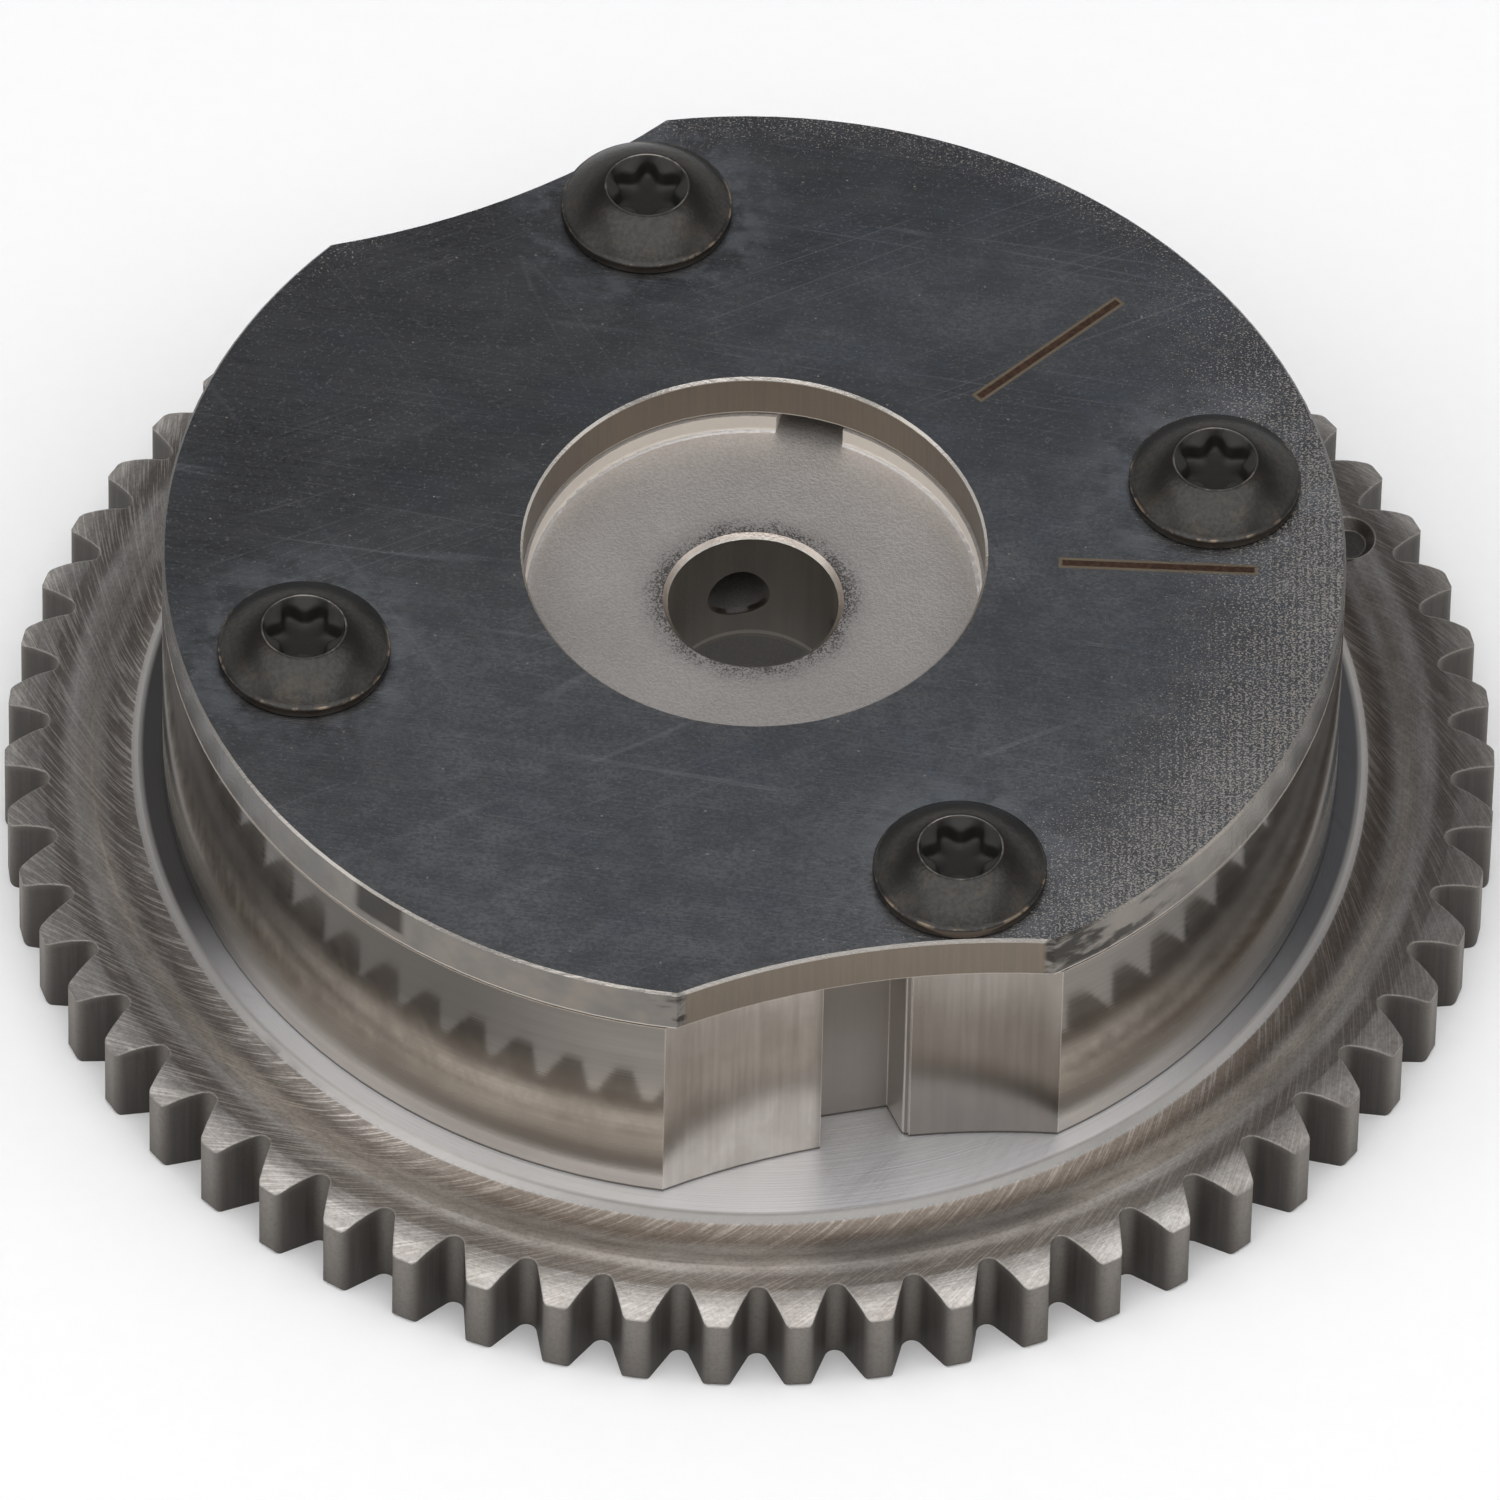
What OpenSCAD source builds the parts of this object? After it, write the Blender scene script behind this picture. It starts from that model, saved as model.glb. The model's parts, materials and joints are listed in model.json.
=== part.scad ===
/* [Sprocket] */
// Number of chain teeth
tooth_count = 58; // [54:2:64]
// Pitch of the inverted-tooth chain
chain_pitch = 6.35; // [6.2:0.05:7]
// Tooth tips beyond the pitch circle
tip_over = 0.1; // [0:0.05:0.4]
// Depth of a tooth gap from tip to root
tooth_depth = 3.45; // [2.8:0.05:3.8]
// Half angle between the flanks of a tooth gap
gap_half_angle = 27; // [20:1:28]
// Radius at the bottom of a tooth gap
root_fillet = 0.83; // [0.6:0.01:1]
// Rounding of the tooth tip corners
tip_round = 0.8; // [0.15:0.05:1]
// Width of the sprocket at its teeth
tooth_w = 8; // [6:0.1:12]
// Drop of the crowned front face from the roots to the tips
crown_drop = 0.9; // [0.2:0.05:1.2]
// Rounding of the rear edge of the tips
rear_round = 0.45; // [0.2:0.05:1]
// Turn of the tooth ring, from a gap at the front
tooth_phase = 1.6; // [0:0.05:6]
// Rise of the ground seat above the tooth face
seat_rise = 0.15; // [0.1:0.05:1]
// Width of the sprocket's rim between the housing and the tooth roots
rim_w = 9; // [8:0.1:11]
// Width of the seat outside the housing
seat_w = 2.4; // [1.5:0.1:3]
// Rounding of the seat's lip
lip_round = 0.8; // [0.3:0.05:1]
// Radius of the valley turned beside the lip
valley_round = 3.4; // [2.5:0.1:5]
// Radius of the shoulder that rolls from the valley to the tooth face
shoulder_round = 3.4; // [2.5:0.1:5]
// Depth of the valley below the tooth face
valley_depth = 0.7; // [0.3:0.05:1]
// Distance of the valley's middle from the lip
valley_out = 1.7; // [1:0.1:3]
// Depth of the relief turned into the rear face
rear_relief = 0.6; // [0.2:0.1:1.5]
// Width of the rim left standing on the rear face
rear_rim_w = 5; // [3:0.5:7]
// Width of the rear land round the centre bore
rear_land_w = 4.5; // [3:0.5:7]
// Radius of the round timing dimple at the tooth face
dimple_r = 2.25; // [1.8:0.05:2.8]
// Depth of the timing dimple below the tooth face
dimple_depth = 0.75; // [0.5:0.05:1.2]
// Distance of the timing dimple inside the tooth roots
dimple_inset = 2.6; // [2.4:0.1:4]
// Angle of the timing dimple
dimple_angle = 26.8; // [0:0.1:360]

/* [Housing and cover] */
// Height of the housing
housing_h = 19.35; // [17:0.05:26]
// Wall between the chambers and the outside
wall_t = 6.8; // [6.4:0.1:7.4]
// Thickness of the front cover
cover_t = 4.15; // [2.5:0.05:6]
// Radius of the hole in the front cover
cover_hole_r = 18.1; // [17.9:0.1:19]
// Chamfer on the edges of the cover
cover_chamfer = 0.2; // [0.1:0.05:0.4]
// Radius of the arc of each outer notch
notch_arc_r = 60.6; // [50:0.2:75]
// Depth of the notches in the cover
notch_depth = 4.3; // [3:0.05:4.8]
// Set-back of the housing's notches behind the cover's
notch_setback = 0.5; // [0.1:0.1:1]
// Angles of the notches
notch_angles = [282.3, 118.4]; // [0:0.1:360]
// Angle of the upright slot in the first notch
slot_angle = 283; // [281:0.1:284]
// Width of the upright slot at its back wall
slot_w = 5.4; // [4.5:0.1:6.2]
// Angle by which each side of the slot opens outwards
slot_draft_angle = 11; // [2:0.5:15]
// Depth of the slot's back wall inside the outer radius
slot_depth = 7.9; // [6.5:0.1:8.2]
// Rounding of one edge of the slot
slot_edge_round = 0.5; // [0.3:0.1:1.2]
// Angles of the screws, one in each shoe
screw_angles = [104.3, 12.4, 296.5, 198.5]; // [0:0.1:360]
// Distance of the screws inside the outer radius
screw_inset = 9.5; // [8:0.1:10]
// Angle from each screw clockwise to its shoe's stop face
shoe_back_angle = [9.8, 10.8, 21.4, 11.8]; // [9:0.1:24]
// Angle from each screw the other way to its shoe's far face
shoe_ahead_angle = [27.8, 13.1, 11.6, 15.7]; // [10:0.1:30]
// Angle by which each side of a shoe tapers at its tip
shoe_taper_angle = 3; // [1:0.5:4]
// Place of each shoe's seal between its two faces
seal_place = 0.6; // [0.5:0.05:0.65]

/* [Rotor] */
// Radius of the rotor's hub between the vanes
hub_r = 24; // [23:0.1:25]
// Half width of each vane, as an angle
vane_half_angle = [17.5, 9, 12, 9]; // [8:0.1:18]
// Angle between each parked vane and its shoe
vane_gap_angle = [0.5, 1.5, 1.5, 1.5]; // [0.4:0.1:3]
// Radius of the rear hub that turns in the sprocket
journal_r = 16; // [15:0.1:17]
// Radius of the recess in the front of the rotor
recess_r = 17.9; // [17:0.1:18.5]
// Depth of the recess
recess_depth = 1.6; // [1:0.1:3]
// Rounding at the foot of the recess wall
recess_fillet = 0.35; // [0.2:0.05:0.8]
// Radius of the cam bolt's bore
bolt_bore_r = 6.7; // [5.5:0.1:7.5]
// Chamfer at the mouth of the bolt bore
bolt_chamfer = 0.4; // [0.2:0.05:0.8]
// Radius of the rear bore for the camshaft's nose
nose_bore_r = 12.5; // [11.5:0.1:13]
// Depth of the bore for the camshaft's nose
nose_depth = 13.4; // [12:0.1:15]
// Set-back of the rear hub from the sprocket's rear face
journal_setback = 0.6; // [0.2:0.1:2]
// Radius of the hole for the camshaft's dowel
dowel_r = 2; // [1.5:0.1:2.4]
// Depth of the dowel hole
dowel_depth = 3.5; // [2:0.1:5]
// Angle of the dowel hole
dowel_angle = 145.5; // [0:0.5:360]
// Radius of the oil bores out of the bolt bore
front_oil_r = 2.5; // [1.5:0.1:2.8]
// Height of those oil bores below the rotor's front
front_oil_drop = 8.3; // [7:0.1:9]
// Radius of the oil bores out of the nose bore
rear_oil_r = 2; // [1.2:0.1:2.2]
// Height of those oil bores above the rotor's rear
rear_oil_rise = 2.9; // [2.4:0.1:3.2]
// Angle from a vane's flank to its oil bore
oil_offset_angle = 6.6; // [5:0.1:8]
// Width of the vent slot from the recess to the lock pin
vent_w = 5.4; // [3:0.1:6]

/* [Lock pin] */
// Wall between the spring seat and the vane seal's groove
lock_wall = 0.3; // [0.2:0.05:0.6]
// Radius of the pin's shank
pin_r = 4; // [3.4:0.1:4.2]
// Radius of the pin's flange
pin_flange_r = 4.9; // [4.6:0.1:5]
// Thickness of the pin's flange
pin_flange_h = 2.2; // [1.5:0.1:3]
// Length of the pin
pin_len = 13; // [12:0.1:14]
// Height of the taper on the pin's nose
pin_nose_h = 1.4; // [0.5:0.1:2]
// Taper of the pin's nose on the radius
pin_nose_taper = 0.4; // [0.2:0.05:0.6]
// Stroke of the pin into the bush
lock_stroke = 3; // [2:0.1:3.4]
// Radius of the spring's pocket in the pin
pocket_r = 2.7; // [2.5:0.1:3]
// Thickness left under the spring's pocket
pocket_floor = 3.5; // [2:0.1:5]
// Thickness of the spring seat
seat_plate_t = 1.5; // [1:0.1:2]
// Ledge that carries the spring seat
seat_ledge = 0.6; // [0.3:0.1:0.8]
// Radius of the vent in the spring seat
seat_vent_r = 1.2; // [0.8:0.1:1.4]
// Radius of the spring's wire
wire_r = 0.35; // [0.25:0.05:0.4]
// Turns of the spring
spring_turns = 7; // [5:0.5:9]
// Wall of the bush in the sprocket
bush_wall = 1.7; // [1.2:0.1:2.2]
// Height of the bush
bush_h = 4.2; // [3.5:0.1:5]
// Radius of the drain hole behind the bush
drain_r = 2; // [1:0.1:2.5]

/* [Seals] */
// Width of a sealing strip
strip_w = 2; // [1.5:0.1:2.5]
// Height of a sealing strip
strip_h = 2.2; // [1.5:0.1:2.4]
// Thickness of a leaf spring
leaf_t = 0.2; // [0.15:0.05:0.3]
// Bow of a leaf spring
leaf_bow = 0.7; // [0.4:0.05:0.9]
// Space left at each end of a leaf spring
leaf_end_gap = 2; // [1:0.5:4]

/* [Screws] */
// Radius of the screw's thread
thread_r = 3; // [2.5:0.1:3.2]
// Length of the screw under its head
screw_len = 30; // [28:0.5:31]
// Radius of the screw's flange
flange_r = 6.75; // [5.5:0.05:7]
// Thickness of the flange at its edge
flange_t = 0.9; // [0.5:0.05:1.4]
// Height of the screw's head
head_h = 3.1; // [2.5:0.1:4]
// Bulge of the head's slope
head_dome = 0.15; // [0:0.05:0.3]
// Radius of the rim round the six-lobe recess
drive_rim_r = 3.35; // [3:0.05:3.8]
// Width of the flat rings beside the recess's countersink
drive_land = 0.12; // [0.05:0.01:0.2]
// Radius of the lobes of the recess
lobe_r = 0.72; // [0.5:0.02:0.8]
// Radius over the lobes of the recess
drive_r = 2.75; // [2.4:0.05:2.85]
// Depth of the recess
drive_depth = 2.3; // [1.5:0.1:2.6]

/* [Fits] */
// Radial clearance of a running fit
run_clear = 0.05; // [0.02:0.01:0.08]
// Clearance at each end face of the rotor
face_clear = 0.04; // [0.02:0.01:0.1]
// Clearance between the vanes and the chamber wall
tip_clear = 0.15; // [0.1:0.01:0.3]
// Clearance of each seal in its groove
groove_clear = 0.03; // [0.02:0.01:0.1]
// Radial clearance of the screws in the cover and the housing
screw_clear = 0.25; // [0.1:0.05:0.5]
// Clearance of the screw's thread in the sprocket
thread_clear = 0.05; // [0.02:0.01:0.1]

/* [Hidden] */
$fn = 120;
over = 1;
shoe_ids = [0, 1, 2, 3];

// Heights along the axis
seat_z = tooth_w + seat_rise;
cover_z = seat_z + housing_h;
top_z = cover_z + cover_t;
rotor_z = seat_z + face_clear;
rotor_top_z = cover_z - face_clear;
recess_z = rotor_top_z - recess_depth;
nose_z = journal_setback + nose_depth;

// Radii of the sprocket
tip_r = chain_pitch / (2 * sin(180 / tooth_count)) + tip_over;
root_r = tip_r - tooth_depth;
body_r = root_r - rim_w;
lip_r = body_r + seat_w;
dimple_at_r = root_r - dimple_inset;
centre_bore_r = journal_r + run_clear;

// Arcs of the sprocket's front: the crown of the teeth, and the valley with its shoulder
crown_start_r = root_r + root_fillet / 2;
crown_round = (pow(tip_r - crown_start_r, 2) + pow(crown_drop, 2)) / (2 * crown_drop);
valley_r = lip_r + valley_out;
valley_turn = acos(1 - valley_depth / (valley_round + shoulder_round));
shoulder_r = valley_r + (valley_round + shoulder_round) * sin(valley_turn);

// Radii of the housing's cuts
notch_floor_r = body_r - notch_depth;
slot_floor_r = body_r - slot_depth;
screw_at_r = body_r - screw_inset;

// Radii of the chambers
chamber_r = body_r - wall_t;
vane_r = chamber_r - tip_clear;
shoe_tip_r = hub_r + tip_clear;

// Seals: strip, leaf spring and the groove that holds both
leaf_room = leaf_bow + leaf_t + 2 * groove_clear;
groove_w = strip_w + 2 * groove_clear;
vane_seal_r = chamber_r - run_clear;
vane_strip_r = vane_seal_r - strip_h;
vane_groove_r = vane_strip_r - leaf_room;
shoe_seal_r = hub_r + run_clear;
shoe_strip_r = shoe_seal_r + strip_h;
shoe_groove_r = shoe_strip_r + leaf_room;
strip_len = housing_h - 4 * face_clear;
leaf_len = strip_len - 2 * leaf_end_gap;
leaf_round = (pow(leaf_len / 2, 2) + pow(leaf_bow, 2)) / (2 * leaf_bow);
strip_mid_z = (seat_z + cover_z) / 2;

// Lock pin, spring and seat along the pin's axis
lock_angle = vane_angle(0);
pin_z = rotor_z;
pin_top_z = pin_z + pin_len;
pin_shoulder_z = pin_top_z - pin_flange_h - lock_stroke;
pin_bore_r = pin_r + run_clear;
pin_guide_r = pin_flange_r + run_clear;
seat_plate_r = pin_guide_r + seat_ledge;
lock_at_r = vane_groove_r - seat_plate_r - lock_wall;
seat_plate_z = recess_z - seat_plate_t;
spring_z = pin_z + pocket_floor + groove_clear;
spring_top_z = seat_plate_z - groove_clear;
coil_r = pocket_r - wire_r - 2 * run_clear;
bush_r = pin_r + run_clear + bush_wall;
bush_z = seat_z - bush_h;

// Angles: each vane is parked against the shoe of the same number
function shoe_stop(i) = screw_angles[i] - shoe_back_angle[i];
function shoe_far(i) = screw_angles[i] + shoe_ahead_angle[i];
function shoe_seal_angle(i) = shoe_stop(i) + seal_place * (shoe_far(i) - shoe_stop(i));
function vane_angle(i) = shoe_stop(i) - vane_gap_angle[i] - vane_half_angle[i];
function front_oil_angle(i) = vane_angle(i) + vane_half_angle[i] + oil_offset_angle;
function rear_oil_angle(i) = vane_angle(i) - vane_half_angle[i] - oil_offset_angle;
function on_circle(r, a) = [r * cos(a), r * sin(a)];

// Shared shapes

// Round hole or pin between two heights
module upright(r, z0, z1) {
  translate([0, 0, z0]) cylinder(h = z1 - z0, r = r);
}

// Cone between two heights
module upright_cone(r0, r1, z0, z1) {
  translate([0, 0, z0]) cylinder(h = z1 - z0, r1 = r0, r2 = r1);
}

module at_screws() {
  for (a = screw_angles) rotate(a) translate([screw_at_r, 0, 0]) children();
}

module at_lock() {
  rotate(lock_angle) translate([lock_at_r, 0, 0]) children();
}

// Wedge of a circle, used for the vanes
module wedge(angle, half, r) {
  reach = r + over;
  rotate(angle) intersection() {
    circle(r);
    polygon([[0, 0], [reach, -reach * tan(half)], [reach, reach * tan(half)]]);
  }
}

module at_notches(floor_r) {
  for (a = notch_angles) rotate(a) translate([floor_r + notch_arc_r, 0, 0]) children();
}

// Sprocket

// Front slope of the teeth, an arc that leaves the tooth face level
module crown_section() {
  intersection() {
    translate([crown_start_r, tooth_w - crown_round]) circle(crown_round);
    translate([valley_r, tooth_w - 2 * crown_drop]) square([tip_r - valley_r, 3 * crown_drop]);
  }
}

// Valley beside the lip, and the shoulder that rolls from it to the tooth face
module valley_section() {
  valley_mid = [valley_r, tooth_w - valley_depth + valley_round];
  shoulder_mid = [shoulder_r, tooth_w - shoulder_round];
  overlap = 0.004;
  difference() {
    union() {
      translate(valley_mid) circle(valley_round);
      polygon([valley_mid, shoulder_mid, [shoulder_r, valley_mid[1]]]);
    }
    translate(shoulder_mid) circle(shoulder_round + overlap);
  }
}

module sprocket_section() {
  wide = tip_r - centre_bore_r;
  difference() {
    union() {
      translate([centre_bore_r, 0]) square([wide - rear_round, tooth_w / 2]);
      translate([centre_bore_r, rear_round]) square([wide, tooth_w - crown_drop - rear_round]);
      translate([tip_r - rear_round, rear_round]) circle(rear_round);
      translate([centre_bore_r, 0]) square([crown_start_r - centre_bore_r, tooth_w]);
      crown_section();
      translate([centre_bore_r, 0]) square([lip_r - lip_round - centre_bore_r, seat_z]);
      translate([centre_bore_r, 0]) square([lip_r - centre_bore_r, seat_z - lip_round]);
      translate([lip_r - lip_round, seat_z - lip_round]) circle(lip_round);
    }
    valley_section();
    translate([centre_bore_r + rear_land_w, -over])
      square([root_r - rear_rim_w - centre_bore_r - rear_land_w, over + rear_relief]);
  }
}

// Corner of a tooth tip, rounded by an arc that touches the flank and meets the tip circle
module tip_corner(foot, side) {
  slope = tan(gap_half_angle);
  sink = 0.9;
  corner_r = tip_r - sink * tip_round;
  offset_y = side + tip_round / cos(gap_half_angle);
  corner_x = sqrt(pow(corner_r, 2) - pow(offset_y + (corner_r - foot) * slope, 2));
  corner = [corner_x, offset_y + (corner_x - foot) * slope];
  in_gap = corner + 2 * tip_round * [sin(gap_half_angle), -cos(gap_half_angle)];
  outside = corner * (tip_r + over) / corner_r;
  difference() {
    polygon([in_gap, [tip_r + over, 0], outside, corner]);
    translate(corner) circle(tip_round);
  }
}

// Gap between two teeth: rounded root, straight flanks, rounded tip corners
module tooth_gap() {
  root_mid = root_r + root_fillet;
  side = root_fillet * cos(gap_half_angle);
  foot = root_mid - root_fillet * sin(gap_half_angle);
  mouth = side + (tip_r + over - foot) * tan(gap_half_angle);
  translate([root_mid, 0]) circle(root_fillet);
  polygon([[foot, -side], [tip_r + over, -mouth], [tip_r + over, mouth], [foot, side]]);
  tip_corner(foot, side);
  mirror([0, 1]) tip_corner(foot, side);
}

module sprocket() {
  color("#6f6a64") difference() {
    rotate_extrude() sprocket_section();
    for (k = [0 : tooth_count - 1])
      rotate(270 + tooth_phase + k * 360 / tooth_count)
        translate([0, 0, -over]) linear_extrude(seat_z + 2 * over) tooth_gap();
    at_screws() upright(thread_r + thread_clear, -over, seat_z + over);
    at_lock() upright(bush_r, bush_z, seat_z + over);
    at_lock() upright(drain_r, -over, bush_z + over);
    rotate(dimple_angle) translate([dimple_at_r, 0, 0])
      upright_cone(dimple_r - dimple_depth, dimple_r + over, tooth_w - dimple_depth, tooth_w + over);
  }
}

module lock_bush() {
  lead_in = 0.4;
  color("#9a9a98") at_lock() difference() {
    upright(bush_r, bush_z, seat_z);
    upright(pin_bore_r + run_clear, bush_z - over, seat_z + over);
    upright_cone(pin_bore_r + run_clear, pin_bore_r + run_clear + lead_in, seat_z - lead_in, seat_z);
  }
}

// Housing and cover

module shoe(i) {
  outer_r = chamber_r + wall_t / 4;
  stop = shoe_stop(i);
  far = shoe_far(i);
  middle = (stop + far) / 2;
  tip_in = hub_r - over;
  polygon([
    on_circle(tip_in, stop + shoe_taper_angle), on_circle(outer_r, stop),
    on_circle(outer_r / cos((far - stop) / 4), (stop + middle) / 2),
    on_circle(outer_r / cos((far - stop) / 4), (far + middle) / 2),
    on_circle(outer_r, far), on_circle(tip_in, far - shoe_taper_angle)
  ]);
}

// Slot that opens outwards, with one rounded edge at its mouth
module slot_outline() {
  mouth_r = notch_floor_r - notch_setback;
  back = slot_w / 2;
  front = back + slot_depth * tan(slot_draft_angle);
  edge = back + (mouth_r - slot_floor_r) * tan(slot_draft_angle);
  polygon([[slot_floor_r, -back], [body_r, -front], [body_r, front], [slot_floor_r, back]]);
  translate([mouth_r - slot_edge_round, edge - slot_edge_round * tan(slot_draft_angle)]) difference() {
    square([2 * slot_edge_round, slot_edge_round]);
    translate([0, slot_edge_round]) circle(slot_edge_round);
  }
}

module housing_outline() {
  difference() {
    circle(body_r);
    difference() {
      circle(chamber_r);
      for (i = shoe_ids) shoe(i);
    }
    circle(shoe_tip_r);
    for (i = shoe_ids)
      rotate(shoe_seal_angle(i))
        translate([0, -groove_w / 2]) square([shoe_groove_r, groove_w]);
    at_notches(notch_floor_r - notch_setback) circle(notch_arc_r);
    rotate(slot_angle) slot_outline();
    at_screws() circle(thread_r + screw_clear);
  }
}

module housing() {
  color("#b9b4ad") translate([0, 0, seat_z]) linear_extrude(housing_h) housing_outline();
}

module cover_section() {
  polygon([
    [cover_hole_r + cover_chamfer, cover_z], [body_r - cover_chamfer, cover_z],
    [body_r, cover_z + cover_chamfer], [body_r, top_z - cover_chamfer],
    [body_r - cover_chamfer, top_z], [cover_hole_r + cover_chamfer, top_z],
    [cover_hole_r, top_z - cover_chamfer], [cover_hole_r, cover_z + cover_chamfer]
  ]);
}

// The notch's edge chamfer is a little steeper than the rim's
module front_cover() {
  steep = 1.25;
  notch_in_r = notch_arc_r - over;
  notch_out_r = notch_arc_r + cover_chamfer + over;
  notch_edge_h = steep * (cover_chamfer + over);
  notch_edge_over = steep * over;
  color("#34373b") difference() {
    rotate_extrude() cover_section();
    at_notches(notch_floor_r) upright(notch_arc_r, cover_z - over, top_z + over);
    at_notches(notch_floor_r) upright_cone(notch_in_r, notch_out_r, top_z - notch_edge_h, top_z + notch_edge_over);
    at_notches(notch_floor_r) upright_cone(notch_out_r, notch_in_r, cover_z - notch_edge_over, cover_z + notch_edge_h);
    at_screws() upright(thread_r + screw_clear, cover_z - over, top_z + over);
  }
}

// Screws

module drive_outline() {
  lobe_at = drive_r - lobe_r;
  circle(lobe_at);
  for (k = [0 : 5]) rotate(k * 60) translate([lobe_at, 0]) circle(lobe_r);
}

module head_section() {
  edge = flange_t / 4;
  dome_r = (flange_r + drive_rim_r) / 2;
  dome_h = (flange_t + head_h) / 2 + head_dome;
  polygon([
    [0, 0], [flange_r - edge, 0], [flange_r, edge], [flange_r, flange_t - edge],
    [flange_r - edge, flange_t], [dome_r, dome_h], [drive_rim_r, head_h], [0, head_h]
  ]);
}

module cover_screw() {
  sink_out_r = drive_rim_r - drive_land;
  sink_in_r = drive_r + drive_land;
  sink_h = sink_out_r - sink_in_r;
  tip_chamfer = thread_r / 6;
  difference() {
    union() {
      rotate_extrude() head_section();
      upright(thread_r, tip_chamfer - screw_len, over / 2);
      upright_cone(thread_r - tip_chamfer, thread_r, -screw_len, tip_chamfer - screw_len);
    }
    upright_cone(sink_in_r, sink_out_r + over, head_h - sink_h, head_h + over);
    translate([0, 0, head_h - drive_depth]) linear_extrude(drive_depth + over) drive_outline();
  }
}

module cover_screws() {
  color("#262524") at_screws() translate([0, 0, top_z]) cover_screw();
}

// Rotor

module rotor_outline() {
  difference() {
    union() {
      circle(hub_r);
      for (i = shoe_ids) wedge(vane_angle(i), vane_half_angle[i], vane_r);
    }
    for (i = shoe_ids)
      rotate(vane_angle(i)) translate([vane_groove_r, -groove_w / 2])
        square([chamber_r - vane_groove_r, groove_w]);
  }
}

// Recess with a rounded foot, as a revolved section
module recess_section() {
  translate([0, recess_z + recess_fillet]) square([recess_r, recess_depth + over]);
  translate([0, recess_z]) square([recess_r - recess_fillet, recess_depth]);
  translate([recess_r - recess_fillet, recess_z + recess_fillet]) circle(recess_fillet);
}

module oil_bore(angle, z, r, from_r) {
  rotate(angle) translate([from_r, 0, z]) rotate([0, 90, 0]) cylinder(h = hub_r + over - from_r, r = r);
}

module lock_bore() {
  upright(pin_bore_r, rotor_z - over, pin_shoulder_z + over);
  upright(pin_guide_r, pin_shoulder_z, seat_plate_z + over / 2);
  upright(seat_plate_r, seat_plate_z, rotor_top_z + over);
}

module rotor() {
  color("#a19d98") difference() {
    union() {
      translate([0, 0, rotor_z]) linear_extrude(rotor_top_z - rotor_z) rotor_outline();
      upright(journal_r, journal_setback, rotor_z + over);
    }
    rotate_extrude() recess_section();
    upright(bolt_bore_r, nose_z - over, recess_z + over);
    upright_cone(bolt_bore_r, bolt_bore_r + bolt_chamfer, recess_z - bolt_chamfer, recess_z);
    upright(nose_bore_r, journal_setback - over, nose_z);
    rotate(dowel_angle) translate([(bolt_bore_r + nose_bore_r) / 2, 0, 0])
      upright(dowel_r, nose_z - over, nose_z + dowel_depth);
    for (i = shoe_ids) {
      oil_bore(front_oil_angle(i), rotor_top_z - front_oil_drop, front_oil_r, 0);
      oil_bore(rear_oil_angle(i), rotor_z + rear_oil_rise, rear_oil_r, nose_bore_r - over);
    }
    rotate(lock_angle) translate([recess_r - over, -vent_w / 2, recess_z])
      cube([lock_at_r - recess_r + over, vent_w, recess_depth + over]);
    at_lock() lock_bore();
  }
}

// Seals and their leaf springs

module strip_bar(inner_r, outer_r, width) {
  translate([inner_r, -width / 2]) square([outer_r - inner_r, width]);
}

module vane_seal(i) {
  color("#4a4038") translate([0, 0, strip_mid_z - strip_len / 2]) linear_extrude(strip_len)
    rotate(vane_angle(i)) intersection() {
      circle(vane_seal_r);
      strip_bar(vane_strip_r, chamber_r + over, strip_w);
    }
}

module shoe_seal(i) {
  color("#4a4038") translate([0, 0, strip_mid_z - strip_len / 2]) linear_extrude(strip_len)
    rotate(shoe_seal_angle(i)) difference() {
      strip_bar(hub_r - over, shoe_strip_r, strip_w);
      circle(shoe_seal_r);
    }
}

// Bowed strip whose middle rests on the seal; its bow rises along +X
module leaf_profile() {
  intersection() {
    translate([-leaf_round - leaf_t, 0]) difference() {
      circle(leaf_round + leaf_t);
      circle(leaf_round);
    }
    translate([-2 * leaf_room, -leaf_len / 2]) square([2 * leaf_room, leaf_len]);
  }
}

module leaf_spring() {
  color("#8d9094") translate([0, strip_w / 2, strip_mid_z]) rotate([90, 0, 0])
    linear_extrude(strip_w) leaf_profile();
}

module vane_seal_spring(i) {
  rotate(vane_angle(i)) translate([vane_strip_r - groove_clear, 0, 0]) leaf_spring();
}

module shoe_seal_spring(i) {
  rotate(shoe_seal_angle(i)) translate([shoe_strip_r + groove_clear, 0, 0])
    mirror([1, 0, 0]) leaf_spring();
}

// Lock pin, spring and seat

module lock_pin() {
  color("#7d7f82") at_lock() difference() {
    union() {
      upright_cone(pin_r - pin_nose_taper, pin_r, pin_z, pin_z + pin_nose_h);
      upright(pin_r, pin_z + pin_nose_h, pin_top_z);
      upright(pin_flange_r, pin_top_z - pin_flange_h, pin_top_z);
    }
    upright(pocket_r, pin_z + pocket_floor, pin_top_z + over);
  }
}

// Point on ring s, side k of the coil's wire, with flat closed ends
function coil_point(s, k, rings, sides) =
  let (
    turn = s / rings,
    angle = turn * spring_turns * 360,
    rise = spring_z + wire_r + turn * (spring_top_z - spring_z - 2 * wire_r),
    around = k * 360 / sides,
    r = coil_r + wire_r * cos(around)
  ) [r * cos(angle), r * sin(angle), rise + wire_r * sin(around)];

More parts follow.
